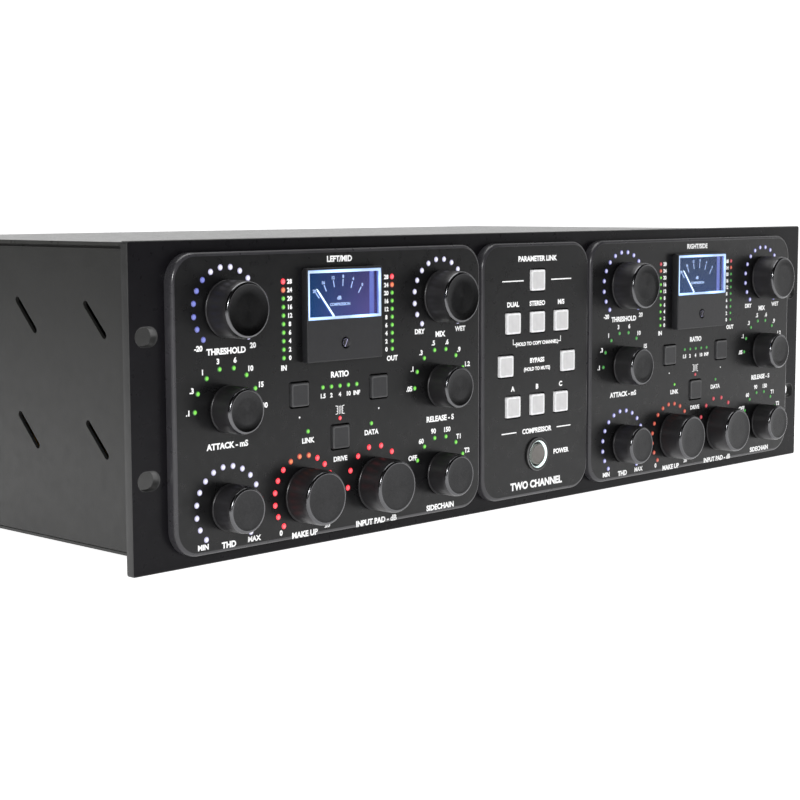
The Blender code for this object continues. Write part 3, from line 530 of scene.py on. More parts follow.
def finish_mesh(name, draw, slots, angle=35.0):
    """The mesh that draw(mesh) makes in mm, in metres, closed, with its normals out."""
    mesh = bmesh.new()
    draw(mesh)
    bmesh.ops.remove_doubles(mesh, verts=mesh.verts, dist=0.0005)
    bmesh.ops.recalc_face_normals(mesh, faces=mesh.faces)
    mark_edges(mesh, radians(angle))
    bmesh.ops.scale(mesh, vec=(MM, MM, MM), verts=mesh.verts)
    data = bpy.data.meshes.new(name)
    mesh.to_mesh(data)
    mesh.free()
    for slot_name in slots:
        data.materials.append(FINISHES[slot_name])
    return data


def add_object(name, data):
    made = bpy.data.objects.new(name, data)
    bpy.context.scene.collection.objects.link(made)
    return made


def show(name, data, body, place=(0.0, 0.0), turn=0.0, stands_for=()):
    """Puts a mesh in the unit, on its CAD body; place is (x, z) in mm."""
    piece = add_object(name, data)
    piece.location = at(place[0], 0.0, place[1])
    piece.rotation_euler = (0.0, turn, 0.0)
    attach(piece, body)
    for node in stands_for:
        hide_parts(node)


def piece(name, draw, slots, slot, body="chassis", place=(0.0, 0.0), turn=0.0, stands_for=(), angle=35.0):
    """Draws a mesh and puts it in the unit; angle is where its edges turn sharp."""
    show(name, finish_mesh(name, draw, slots, angle), body, place, turn, stands_for)


# ---------------------------------------------------------------- panel and fascias
def button_nodes(side=None):
    """The square buttons of a channel, or of the centre."""
    names = [n for n in NODES if n.endswith("_button") and n != "power_button"]
    channel = [n for n in names if n.endswith(("ratio_down_button", "ratio_up_button", "transformer_button"))]
    if side is None:
        return sorted(set(names) - set(channel))
    return sorted(n for n in channel if n.startswith(side))


def knob_nodes(side):
    return sorted(n for n in NODES if n.endswith("_knob") and n.startswith(side))


HOLE_GAP = 0.5
HOLE_EDGE = 0.25
KNOB_HOLE = 5.0
METER_HOLE_HALF = 21.2
FASCIA_CORNER, PANEL_CORNER = 12.0, 1.2
# The rack slots: places of their middles, length, width and broken edge
SLOT_X, SLOT_Z = 232.55, 28.575
SLOT_LENGTH, SLOT_WIDTH, SLOT_EDGE = 10.5, 7.5, 0.4


def softened(outline_at, near, far, edge):
    """Layers of a hole whose front edge is broken: outline_at(growth), from near to far."""
    steps = ((edge, 0.0), (0.3 * edge, 0.3 * edge), (0.0, edge))
    return [(outline_at(growth), near + depth) for growth, depth in steps] + [(outline_at(0.0), far)]


def square_hole(node, near, far):
    centre = middle(node)
    half = BUTTON_HALF + HOLE_GAP

    def outline(growth):
        return centred(half + growth, half + growth, 0.9 + growth, 5, centre.x, centre.z)

    return softened(outline, near, far, HOLE_EDGE)


def round_hole(centre, radius, near, far):
    return softened(lambda growth: circle((centre.x, centre.z), radius + growth, 32), near, far, HOLE_EDGE)


def meter_hole(side, near, far):
    case = f"{side}_meter_case"
    (low, high), x = local_box(case), middle(case).x
    outline = rounded((x - METER_HOLE_HALF, low.z + 1.3), (x + METER_HOLE_HALF, high.z - 1.3), 0.5, 3)
    return prism(outline, near, far)


def fascia_holes(side, near, far):
    """The holes for a channel's controls, or for the centre's where side is None."""
    holes = [square_hole(node, near, far) for node in button_nodes(side)]
    if side is None:
        return holes + [round_hole(middle("power_button_bezel"), BEZEL_BODY, near, far)]
    holes += [round_hole(JOINT_PLACE[knob], KNOB_HOLE, near, far) for knob in knob_nodes(side)]
    return holes + [meter_hole(side, near, far)]


def make_fascia(node, side):
    """Raised plate: large round corners and a soft chamfer round the front."""
    low, high = local_box(node)
    holes = fascia_holes(side, low.y, high.y)
    steps = ((1.55, 0.0), (1.0, 0.12), (0.55, 0.42), (0.2, 0.85), (0.0, 1.4), (0.0, high.y - low.y))
    layers = [(shrunk(low, high, inset, FASCIA_CORNER, 20), low.y + depth) for inset, depth in steps]
    # The chamfers and sides take a lighter copy of the face's finish: painted highlight.
    # The holes' walls are darker than the face: painted shade.
    slots = ["fascia", "fascia_edge", "hole_wall"]

    def draw(mesh):
        plate(mesh, layers, holes, 1, 2)

    piece(f"{node}_plate", draw, slots, "fascia_black", stands_for=[node], angle=50.0)


def make_panel():
    """Base panel: rack slots, small corner radius, broken edges."""
    low, high = local_box("front_panel")
    steps = ((0.45, 0.0), (0.12, 0.13), (0.0, 0.45), (0.0, high.y - 0.3), (0.3, high.y))
    layers = [(shrunk(low, high, inset, PANEL_CORNER, 8), low.y + depth) for inset, depth in steps]
    holes = []
    for centre in ((x, z) for x in (-SLOT_X, SLOT_X) for z in (-SLOT_Z, SLOT_Z)):

        def outline(growth):
            return slot_outline(centre, SLOT_LENGTH + 2 * growth, SLOT_WIDTH + 2 * growth)

        holes.append(softened(outline, low.y, high.y, SLOT_EDGE))
    for side in (*SIDES, None):
        holes += fascia_holes(side, low.y, high.y)

    def draw(mesh):
        plate(mesh, layers, holes, 1, 1)

    # The edges and the holes' walls take a lighter copy of the face's finish: painted highlight.
    piece("front_panel_plate", draw, ["panel", "panel_edge"], "black_panel", stands_for=["front_panel"])


# ---------------------------------------------------------------- knobs
KNURL_TEETH = 84
KNURL_ROWS = 18
KNURL_DEPTH = 0.12
KNOB_ROUND_OFF = 1.4
KNOB_SKIRT = 1.0
KNOB_GROOVE = 0.2  # how far the ends of the knurl lie below the skirt
KNOB_RECESS, KNOB_RECESS_DEPTH = 6.6, 3.5
SHAFT_RADIUS = 3.0
EDGE_ANGLES = [radians(15.0 * k) for k in range(6)]


def knob_draw(radius, face_y, rear_y, shaft_end):
    """Turned knob: dished face, rounded edge, diamond knurl, rear skirt, recess and shaft."""
    knurl_front = face_y + KNOB_ROUND_OFF + 0.5
    knurl_rear = rear_y - KNOB_SKIRT
    groove = radius - KNOB_GROOVE
    steps = KNURL_TEETH * 2
    rim = radius - KNOB_ROUND_OFF

    def draw(mesh):
        face = [(0.0, 0.13), (0.8, 0.12), (0.55 * radius, 0.09), (rim - 0.15, 0.03)]
        for a in EDGE_ANGLES:
            face.append((rim + KNOB_ROUND_OFF * sin(a) - 0.2 * a, KNOB_ROUND_OFF * (1.0 - cos(a))))
        face = [(reach, face_y + depth) for reach, depth in face] + [(groove, knurl_front)]
        spin(mesh, face, steps, indices=[1] * 3 + [2] * 6 + [0])
        knurl(mesh, radius, knurl_front, knurl_rear, steps)
        back = [(groove, knurl_rear), (radius, knurl_rear + 0.2), (radius, rear_y - 0.25)]
        recess = rear_y - KNOB_RECESS_DEPTH
        back += [(radius - 0.25, rear_y), (KNOB_RECESS, rear_y), (KNOB_RECESS, recess)]
        spin(mesh, back + [(SHAFT_RADIUS, recess), (SHAFT_RADIUS, shaft_end), (0.0, shaft_end)], steps)

    return draw


def knurl(mesh, radius, start, stop, steps):
    """Diamond knurl: teeth alternate row by row, and fade out at both ends."""
    rings = []
    for row in range(KNURL_ROWS + 1):
        depth = start + (stop - start) * row / KNURL_ROWS
        ring = []
        for i in range(steps):
            angle = 2.0 * pi * i / steps
            reach = radius - 0.05 - (KNURL_DEPTH if (i + row) % 2 else 0.0)
            if row in (0, KNURL_ROWS):
                reach = radius - KNOB_GROOVE
            ring.append(mesh.verts.new(front(reach * cos(angle), reach * sin(angle), depth)))
        rings.append(ring)
    for first, second in zip(rings, rings[1:]):
        band(mesh, first, second)


def make_knobs():
    """Two meshes, large and small, each knob turned by its own angle."""
    meshes = {}
    turns = (0.4, 2.1, 3.7, 5.2, 1.3, 4.4, 0.9, 2.8)
    for side in SIDES:
        for node, turn in zip(knob_nodes(side), turns):
            low, high = local_box(node)
            axis = JOINT_PLACE[node]
            radius = round(0.5 * (high.z - low.z), 1)
            if radius not in meshes:
                draw = knob_draw(radius, low.y, FASCIA_Y - 0.8, high.y)
                name = "large_knob" if radius > 11.0 else "small_knob"
                meshes[radius] = finish_mesh(name, draw, ["knob_side", "knob_face", "knob_edge"], 28.0)
            show(f"{node}_turned", meshes[radius], node, (axis.x, axis.z), turn, [node])


# ---------------------------------------------------------------- buttons
def button_draw(low, high):
    """Cap with a raised rim, round corners, retaining flange and stem."""
    flange = PANEL_BACK + CAP_CLEARANCE

    def square(half, radius=0.8):
        return centred(half, half, radius, 5)

    rim = ((0.95, 0.12), (0.7, 0.02), (0.3, 0.0), (0.08, 0.1), (0.0, 0.35))
    layers = [(square(BUTTON_HALF - inset), low.y + depth) for inset, depth in rim]
    layers.append((square(BUTTON_HALF), flange))
    layers += prism(square(FLANGE_HALF), flange, flange + FLANGE_DEPTH)
    layers += prism(square(STEM_HALF, 0.5), flange + FLANGE_DEPTH, high.y)
    return lambda mesh: stack(mesh, layers, [0] + [1] * 5 + [0] * 5)


def make_buttons():
    """One cap mesh for the white buttons and one for the dark ones."""
    for tone, group in (("white", button_nodes()), ("black", button_nodes("left") + button_nodes("right"))):
        slot = f"button_{tone}"
        draw = button_draw(*local_box(group[0]))
        # Each cap's rim takes a lighter copy of its finish: painted highlight.
        data = finish_mesh(f"{slot}_cap", draw, [f"{tone}_cap", f"{tone}_rim"], 40.0)
        for node in group:
            centre = middle(node)
            show(f"{node}_cap", data, node, (centre.x, centre.z), 0.0, [node])


BEZEL_RECESS = 6.6
BEZEL_RECESS_DEPTH = 1.8
BEZEL_RADIUS = 8.1
BEZEL_BORE = 5.45


def make_power_button():
    """Round cap in a recessed bezel, with a ring of light round the recess."""
    low, high = local_box("power_button")
    bezel_low, bezel_high = local_box("power_button_bezel")
    centre = middle("power_button")
    flange = bezel_high.y + CAP_CLEARANCE
    face = bezel_low.y
    floor = face + BEZEL_RECESS_DEPTH

    def turned(name, profile, slots, slot, body="chassis", stands_for=(), closed=True, tones=None):
        draw = partial(spin, profile=profile, steps=64, closed=closed, indices=tones)
        piece(name, draw, slots, slot, body, (centre.x, centre.z), stands_for=stands_for)

    cap = [(0.0, low.y + 0.35), (3.9, low.y + 0.3), (4.6, low.y), (4.95, low.y + 0.25)]
    cap += [(BUTTON_HALF, low.y + 0.6), (BUTTON_HALF, flange), (FLANGE_HALF, flange)]
    cap += [(FLANGE_HALF, flange + FLANGE_DEPTH), (STEM_HALF, flange + FLANGE_DEPTH), (STEM_HALF, high.y)]
    cap.append((0.0, high.y))
    turned("power_button_cap", cap, ["power_cap"], "power_grey", "power_button", ["power_button"], False)
    inner = BEZEL_RECESS - 0.25
    ring = [(inner, face + 0.25), (BEZEL_RECESS, face + 0.05), (BEZEL_RECESS, floor - SKIN)]
    turned("power_ring_light", ring + [(inner, floor - SKIN)], ["power_ring"], "led_white")
    wall, foot = BEZEL_RECESS + SKIN, FASCIA_Y - SKIN
    rim = [(wall, face + 0.05), (6.8, face), (7.75, face), (8.0, face + 0.15), (BEZEL_RADIUS, face + 0.4)]
    rim += [(BEZEL_RADIUS, foot), (BEZEL_BODY, foot), (BEZEL_BODY, bezel_high.y), (BEZEL_BORE, bezel_high.y)]
    rim += [(BEZEL_BORE, floor), (wall, floor)]
    # The bezel's outer edge is lighter: painted highlight.
    slots, tones = ["socket_black", "thin_edge"], [0, 0, 1, 1] + [0] * 7
    turned("power_bezel_ring", rim, slots, "power_grey", stands_for=["power_button_bezel"], tones=tones)


# ---------------------------------------------------------------- light guides
LED_HEIGHT = 0.3
# Each knob's ring, and the tones of its lights in the left and the right channel
RINGS = {
    "threshold": (FULL_RING, "white", "lavender"),
    "mix": (FULL_RING, "white", "lavender"),
    "thd": (FULL_RING, "white", "lavender"),
    "make_up": (FULL_RING, "red", "ember"),
    "pad": (HALF_RING, "red", "rose"),
    "attack": (HALF_RING, "green", "leaf"),
    "release": (HALF_RING, "green", "leaf"),
    "sidechain": (SHORT_RING, "green", "leaf"),
}
# Lights of the left channel that differ from the rest of their ring: tone, first, one past the last
ODD_LIGHTS = {"threshold": ("blue", 0, 6), "make_up": ("orange", 6, 9)}
BAR_TOP = 48.2
BAR_PITCH = 3.55
BAR_X = 32.3
BAR_COUNT = 10
RATIO_Z = 2.25
RATIO_PITCH = 5.06
STATE_X = 19.0  # the link and data indicators


def led(mesh, x, z, radius):
    """A domed light guide: core and rim in their own materials."""
    base = FASCIA_Y - SKIN
    profile = [(0.0, 1.0), (0.68 * radius, 0.82), (0.9 * radius, 0.5), (radius, 0.0), (0.0, 0.0)]
    profile = [(reach, base - share * LED_HEIGHT) for reach, share in profile]
    spin(mesh, profile, 14, (x, 0.0, z), indices=[1, 0, 0, 0])


def ring_places(centre, ring, radius=RING_RADIUS):
    first, last, count = ring
    for i in range(count):
        angle = radians(first + (last - first) * i / (count - 1))
        yield centre.x + radius * sin(angle), centre.z + radius * cos(angle)


def ring_tones(knob, left):
    """The tone of each light of a ring, from the first to the last."""
    (_, _, count), left_tone, right_tone = RINGS[knob]
    tones = [left_tone if left else right_tone] * count
    if left and knob in ODD_LIGHTS:
        tone, first, stop = ODD_LIGHTS[knob]
        tones[first:stop] = [tone] * (stop - first)
    return tones


def collect_lights():
    """Every light guide as tone: list of (x, z, radius)."""
    lights = {tone: [] for tone in LED_TONES}
    for side, x0 in SIDES.items():
        left = side == "left"
        small = 1.08 if left else 0.9
        green, red = ("green", "red") if left else ("leaf", "rose")
        for knob, (ring, _, _) in RINGS.items():
            size = 1.25 if ring == FULL_RING or knob == "pad" else 1.12
            size *= 1.0 if left else 0.92
            places = ring_places(JOINT_PLACE[f"{side}_{knob}_knob"], ring)
            for tone, (x, z) in zip(ring_tones(knob, left), places):
                lights[tone].append((x, z, size))
        for i in range(BAR_COUNT):
            radius = small * (1.15 if i < 2 else 1.0)
            for x, low_tone in ((x0 - BAR_X, "green"), (x0 + BAR_X, green)):
                tone = (red, "orange" if left else "ember")[i] if i < 2 else low_tone
                lights[tone].append((x, BAR_TOP - BAR_PITCH * i, radius))
        for i in range(5):
            lights[green].append((x0 + (i - 2) * RATIO_PITCH, RATIO_Z, small))
        lights[red].append((x0, -11.8, 0.9))
        lights["green"].append((x0 - STATE_X, -15.8, small))
        lights[green].append((x0 + STATE_X, -15.8, small))
    return lights


def make_lights():
    """One piece for each tone."""
    for tone, places in collect_lights().items():
        slot, *colours = LED_TONES[tone]
        slots = [f"{tone}_rim", f"{tone}_core"]
        for name, colour in zip(slots, colours):
            FINISHES[name] = lit(f"led_{name}", colour, 1.0, (0.05, 0.05, 0.05))

        def draw(mesh):
            for place in places:
                led(mesh, *place)

        piece(f"light_guides_{tone}", draw, slots, slot)


# ---------------------------------------------------------------- legends
CAP_SHARE = 0.73  # cap height of the built-in font, as a share of its size
WORD_WIDTH = 1.06
WORD_WEIGHT = 0.045
INK = 0.02
RING_NUMBERS = {
    "attack": (".1", ".3", "1", "3", "6", "10", "15", "30"),
    "release": (".05", ".1", ".3", ".5", ".6", ".9", "1.2", "A"),
    "sidechain": ("OFF", "60", "90", "150", "T1", "T2", "T3"),
}
BAR_NUMBERS = ("28", "24", "20", "16", "12", "8", "6", "4", "2", "0")
NUMBER_RADIUS = 20.3
NUMBER_CAP = 2.2
LABEL_CAP = 2.5
SMALL_CAP = 1.9
OUTER, INNER = 63.5, 21.3  # the knobs' columns, from a channel's middle
CENTRE_COLUMN = 18.0


def add_words(mesh, words, x, z, cap, depth=FASCIA_Y):
    """Printed words, their middle at (x, z), cap height in mm."""
    curve = bpy.data.curves.new("words", "FONT")
    curve.body = words
    curve.align_x = "CENTER"
    curve.resolution_u = 3
    curve.size = 1.0
    curve.offset = WORD_WEIGHT
    curve.extrude = 0.5
    holder = add_object("words", curve)
    data = bpy.data.meshes.new_from_object(holder)
    size = cap / CAP_SHARE
    grow = Matrix.Diagonal((size * WORD_WIDTH, size, 2.0 * INK, 1.0))
    stand = Matrix.Rotation(0.5 * pi, 4, "X")
    data.transform(Matrix.Translation((x, depth, z - 0.5 * cap)) @ stand @ grow)
    mesh.from_mesh(data)
    bpy.data.objects.remove(holder)
    bpy.data.curves.remove(curve)
    bpy.data.meshes.remove(data)


def add_labels(mesh, groups, x0=0.0):
    """Words by cap height: rows of (words, x, z)."""
    for cap, rows in groups:
        for words, x, z in rows:
            add_words(mesh, words, x0 + x, z, cap)


def bar(mesh, x, side, near, far, low, high):
    """A printed rectangle on one side of x, from near to far and from low to high."""
    first, last = sorted((x + side * near, x + side * far))
    brick(mesh, (first, FASCIA_Y - INK, low), (last, FASCIA_Y + INK, high))


def print_shape(mesh, outline):
    stack(mesh, prism(outline, FASCIA_Y - INK, FASCIA_Y + INK))


def transformer_symbol(mesh, x, z):
    """Two coils facing each other, with a core between them."""
    for side in (-1, 1):
        bar(mesh, x, side, 0.35, 0.65, z - 1.8, z + 1.8)
        start = (1.0 - 0.5 * side) * pi
        for k in (-1, 0, 1):
            centre = (x + side * 1.9, z + 1.15 * k)
            outer = arc(centre, 0.75, start, start + pi, 8)
            print_shape(mesh, outer + arc(centre, 0.42, start + pi, start, 8))
        for end in (z - 1.75, z + 1.75):
            bar(mesh, x, side, 1.9, 2.6, end - 0.16, end + 0.16)


def channel_legends(mesh, side):
    x0 = SIDES[side]
    names = (
        ("THRESHOLD", -OUTER, 21.3),
        ("ATTACK - mS", -OUTER, -17.2),
        ("THD", -OUTER, -58.2),
        ("MAKE UP", -INNER, -59.5),
        ("INPUT PAD - dB", INNER + 0.6, -59.5),
        ("SIDECHAIN", OUTER, -58.2),
        ("MIX", OUTER, 21.2),
        ("RELEASE - S", OUTER, -17.4),
        ("LEFT/MID" if side == "left" else "RIGHT/SIDE", 0.3, 57.0),
        ("RATIO", 0.0, 7.4),
    )
    ends = (
        ("LINK", -STATE_X, -19.6),
        ("DATA", STATE_X, -19.6),
        ("IN", -BAR_X, 12.2),
        ("OUT", BAR_X, 12.2),
        ("-20", -OUTER - 14.6, 23.0),
        ("20", -OUTER + 14.2, 22.8),
        ("MIN", -OUTER - 13.6, -57.6),
        ("MAX", -OUTER + 13.6, -57.6),
        ("0", -INNER - 13.6, -57.4),
        ("20", -INNER + 13.2, -57.4),
        ("DRY", OUTER - 13.6, 23.0),
        ("WET", OUTER + 13.6, 23.0),
    )
    add_labels(mesh, ((LABEL_CAP, names), (NUMBER_CAP, ends), (2.1, (("DRIVE", 0.0, -29.4),))), x0)
    for knob, numbers in RING_NUMBERS.items():
        places = ring_places(JOINT_PLACE[f"{side}_{knob}_knob"], RINGS[knob][0], NUMBER_RADIUS)
        for words, (x, z) in zip(numbers, places):
            add_words(mesh, words, x, z, NUMBER_CAP)
    for i, words in enumerate(BAR_NUMBERS):
        for x in (x0 - BAR_X + 3.6, x0 + BAR_X - 3.6):
            add_words(mesh, words, x, BAR_TOP - BAR_PITCH * i, SMALL_CAP)
    for i, words in enumerate(("1.5", "2", "4", "10", "INF")):
        add_words(mesh, words, x0 + (i - 2) * RATIO_PITCH, -1.4, SMALL_CAP)
    transformer_symbol(mesh, x0, -8.2)
    for x in (-23.7, 23.7):
        print_shape(mesh, circle((x0 + x, -9.5), 0.42, 12))


def centre_legends(mesh):
    left, right = -CENTRE_COLUMN, CENTRE_COLUMN
    keys = (("DUAL", left, 32.3), ("STEREO", 0.0, 32.3), ("M/S", right, 32.3))
    keys += (("BYPASS", 0.0, 4.8), ("POWER", 18.6, -41.2))
    memories = (("A", left, -8.0), ("B", 0.0, -8.0), ("C", right, -8.0), ("COMPRESSOR", 0.0, -29.3))
    hints = (("(HOLD TO COPY CHANNEL)", 0.0, 13.1), ("(HOLD TO MUTE)", 0.0, 0.7))
    groups = ((LABEL_CAP, (("PARAMETER LINK", 0.0, 53.8),)), (2.3, keys), (1.7, hints), (2.4, memories))
    add_labels(mesh, groups + ((3.6, (("TWO CHANNEL", 0.0, -55.4),)),))
    half = 0.28
    for side in (-1, 1):
        bar(mesh, 0.0, side, 10.3, 25.8, 43.3 - half, 43.3 + half)
        bar(mesh, 0.0, side, 15.2, 26.0, -29.3 - half, -29.3 + half)
        bar(mesh, 0.0, side, 15.6, 18.0, 12.9, 13.3)
        bar(mesh, 0.0, side, 17.6, 18.0, 13.35, 15.6)


def make_legends():
    for side in SIDES:
        draw = partial(channel_legends, side=side)
        piece(f"{side}_legends", draw, ["ink"], "legend_white", angle=30.0)
    piece("centre_legends", centre_legends, ["ink"], "legend_white", angle=30.0)


# ---------------------------------------------------------------- meters
NEEDLE_LENGTH = 23.9
NEEDLE_REST = radians(-40.0)
SCREW_TURN = radians(115.0)
DIAL_TICKS = (-41.5, -26.4, -11.3, 3.8, 18.9, 34.0)
DIAL_NUMBERS = ("20", "16", "12", "8", "4", "0")
DIAL_Y = -5.55
PRINT_Y = DIAL_Y - 0.3
CASE_STEP = 1.28  # gap between the front part's rear and the fascia, which the foot fills
WINDOW_WALL = 1.25


def radial_bar(mesh, angle, near, far, half, low_y, high_y):
    """A bar along a radius of the dial."""
    along = Vector((sin(angle), cos(angle)))
    across = Vector((along.y, -along.x)) * half
    a, b = along * near, along * far
    stack(mesh, prism([tuple(p) for p in (a - across, a + across, b + across, b - across)], low_y, high_y))


def frame_of(low, high, radius=0.15, steps=2):
    """A rectangle with barely rounded corners."""
    return rounded(low, high, radius, steps)


def window_frame(side, inset):
    """The clear window's outline, inset on all sides, as low and high corners from the meter's middle."""
    low, high = local_box(f"{side}_meter_window")
    half = 0.5 * (high.x - low.x) - 0.45 - inset
    return (-half, low.z + 0.1 + inset), (half, high.z - 0.9 - inset)


def make_meter_case(side):
    """Moulded case: lower cover with the screw's bore, walls round the window, narrower foot and body."""
    case = f"{side}_meter_case"
    low, high = local_box(case)
    x0 = middle(case).x
    half = high.x - x0
    step_y = FASCIA_Y - CASE_STEP
    rear = FASCIA_Y - SKIN
    screw = (0.0, JOINT_PLACE[f"{side}_zero_screw"].z)

    def outer(inset):
        return rounded((-half + inset, low.z + inset), (half - inset, high.z - inset), 0.8, 4)

    def draw(mesh):
        edge = ((0.5, 0.0), (0.2, 0.12), (0.06, 0.3), (0.0, 0.6), (0.0, step_y - low.y))
        bore = ((2.7, low.y), (2.4, low.y + 0.25), (2.3, low.y + 0.5), (2.3, step_y))
        bore = [(circle(screw, radius, 32), depth) for radius, depth in bore]
        window = prism(frame_of(*window_frame(side, 0.0)), low.y, step_y)
        plate(mesh, [(outer(inset), low.y + depth) for inset, depth in edge], [bore, window])
        foot = frame_of(*window_frame(side, 0.6))
        plate(mesh, prism(outer(0.6), step_y + 0.01, rear), [prism(foot, step_y + 0.01, rear)])
        stack(mesh, prism(frame_of((-20.9, low.z + 1.6), (20.9, high.z - 1.6)), rear + 0.01, high.y))

    piece(f"{side}_meter_front", draw, ["meter"], "meter_black", place=(x0, 0.0), angle=40.0, stands_for=[case])


def make_dial(side):
    """Backlit dial behind the needle, with its ticks, numbers and words."""
    pivot = JOINT_PLACE[f"{side}_meter_needle"]
    place = (pivot.x, pivot.z)
    (left, bottom), (right, top) = window_frame(side, 0.65)
    outline = frame_of((left, bottom - pivot.z), (right, top - pivot.z), 0.3, 3)

    def dial(mesh):
        stack(mesh, prism(outline, DIAL_Y - 0.25, DIAL_Y))

    def marks(mesh):
        for degrees, words in zip(DIAL_TICKS, DIAL_NUMBERS):
            angle = radians(degrees)
            radial_bar(mesh, angle, 19.0, 22.0, 0.28, PRINT_Y, PRINT_Y + 0.05)
            add_words(mesh, words, 23.2 * sin(angle), 23.2 * cos(angle), 1.35, PRINT_Y)
        add_words(mesh, "dB", -0.9, 14.1, 1.6, PRINT_Y)
        add_words(mesh, "COMPRESSION", -0.4, 11.35, 1.25, PRINT_Y)

    piece(f"{side}_meter_dial", dial, [f"{side}_dial"], "dial_blue", place=place)
    piece(f"{side}_dial_marks", marks, ["dial_mark"], "legend_white", place=place)


def make_meter_window(side):
    """Thin clear pane, its thick lit edges, and the glow on the walls behind them."""
    window = f"{side}_meter_window"
    low, high = local_box(window)
    place = (middle(window).x, 0.0)

    def layers(*rows):
        """Layers from rows of (inset, corner radius, depth)."""
        return [(rounded(*window_frame(side, inset), radius, 4), depth) for inset, radius, depth in rows]

    def glass(mesh):
        near, inset = low.y + 0.35, WINDOW_WALL + 0.05
        stack(mesh, layers((inset + 0.25, 0.3, near), (inset, 0.3, near + 0.15), (inset, 0.3, near + 0.5)))

    def light(mesh):
        near, far, wall = low.y + 0.1, high.y, WINDOW_WALL
        opening = layers((wall - 0.2, 0.2, near), (wall, 0.2, near + 0.2), (wall, 0.2, far))
        plate(mesh, layers((0.3, 0.3, near), (0.05, 0.4, near + 0.2), (0.05, 0.4, far)), [opening])

    def glow(mesh):
        near, far = high.y + 0.05, high.y + 1.5
        plate(mesh, layers((0.05, 0.3, near), (0.05, 0.3, far)), [layers((0.9, 0.2, near), (0.7, 0.2, far))])
        (_, bottom), (right, top) = window_frame(side, 1.0)
        stack(mesh, prism(frame_of((right - 3.6, bottom), (right - 1.2, top), 0.2), PRINT_Y - 0.35, PRINT_Y))

    piece(f"{side}_meter_glass", glass, ["window"], "meter_clear", place=place, stands_for=[window])
    piece(f"{side}_window_light", light, ["window_light"], "led_white", place=place)
    piece(f"{side}_window_glow", glow, ["window_glow"], "led_blue", place=place)


def make_needle(side):
    """Tapered white blade with a painted blue shadow along its left edge, on a round hub."""
    node = f"{side}_meter_needle"
    low, high = local_box(node)
    pivot = JOINT_PLACE[node]
    mid = 0.5 * (low.y + high.y)
    tip = NEEDLE_LENGTH

    def draw(mesh):
        hub = [(0.0, mid - 0.2), (1.6, mid - 0.2), (1.85, mid - 0.1), (1.85, mid + 0.2), (0.0, mid + 0.2)]
        spin(mesh, hub, 32)
        blade = [(-0.42, 1.2), (0.5, 1.2), (0.4, tip - 1.2), (0.15, tip), (-0.1, tip), (-0.32, tip - 1.2)]
        stack(mesh, prism(blade, mid - 0.12, mid + 0.02))
        # A painted shadow: a blue strip along the blade's left edge.
        shade = [(-0.95, 1.3), (-0.3, 1.3), (-0.25, tip - 0.6), (-0.7, tip - 1.2)]
        stack(mesh, prism(shade, mid + 0.03, mid + 0.1), [1, 1, 1])

    slots = ["needle", "needle_edge"]
    piece(f"{node}_blade", draw, slots, "needle_white", node, (pivot.x, pivot.z), NEEDLE_REST, [node])


def make_zero_screw(side):
    """Round head of two half discs, with a screwdriver slot between them."""
    node = f"{side}_zero_screw"
    low, high = local_box(node)
    pivot = JOINT_PLACE[node]
    slot_half = 0.38
    radius = 1.75
    floor = low.y + 0.5
    start = asin(slot_half / radius)

    def draw(mesh):
        stack(mesh, prism(circle((0.0, 0.0), radius, 40), floor, high.y), [1, 0, 0])
        half = arc((0.0, 0.0), radius - 0.05, start, pi - start, 16)
        for outline in (half, [(u, -v) for u, v in reversed(half)]):
            sign = 1.0 if outline is half else -1.0
            top = [(u * 0.93, v * 0.93 + sign * 0.05) for u, v in outline]
            stack(mesh, [(top, low.y), (outline, low.y + 0.15), (outline, floor + 0.01)])

    # The slot's floor takes a glowing white finish: a painted highlight.
    slots = ["knob_side", "white_rim"]
    piece(f"{node}_head", draw, slots, "meter_black", node, (pivot.x, pivot.z), SCREW_TURN, [node])


def make_meters():
    for side in SIDES:
        make_meter_case(side)
        make_dial(side)
        make_meter_window(side)
        make_needle(side)
        make_zero_screw(side)


# ---------------------------------------------------------------- carried-over nodes
NODE_FINISH = {
    "case": ("chassis_base", "left_side_panel", "right_side_panel", "rear_panel"),
    "cover": ("top_cover",),
    "board": ("control_board", "main_board"),
    "winding": ("toroidal_transformer",),
    "can": ("left_output_transformer", "right_output_transformer"),
    "socket": ("left_input_socket", "right_input_socket", "left_output_socket", "right_output_socket"),
    "socket_black": ("power_inlet",),
}


def dress_nodes():
    for finish, names in NODE_FINISH.items():
        for name in names:
            node = NODES[name]
            node.data.materials.clear()
            node.data.materials.append(FINISHES[finish])


# ---------------------------------------------------------------- rear details
PORT_X, PORT_Z = -60.0, 8.0


def screw_draw(radius, height):
    """Pan head with a shallow round recess."""

    def draw_at(mesh, x, z, base):
        profile = ((0.0, 0.55), (0.35, 0.55), (0.4, 1.0), (0.7, 0.92), (1.0, 0.3), (1.0, 0.0), (0.0, 0.0))
        spin(mesh, [(share * radius, base + level * height) for share, level in profile], 24, (x, 0.0, z))

    return draw_at


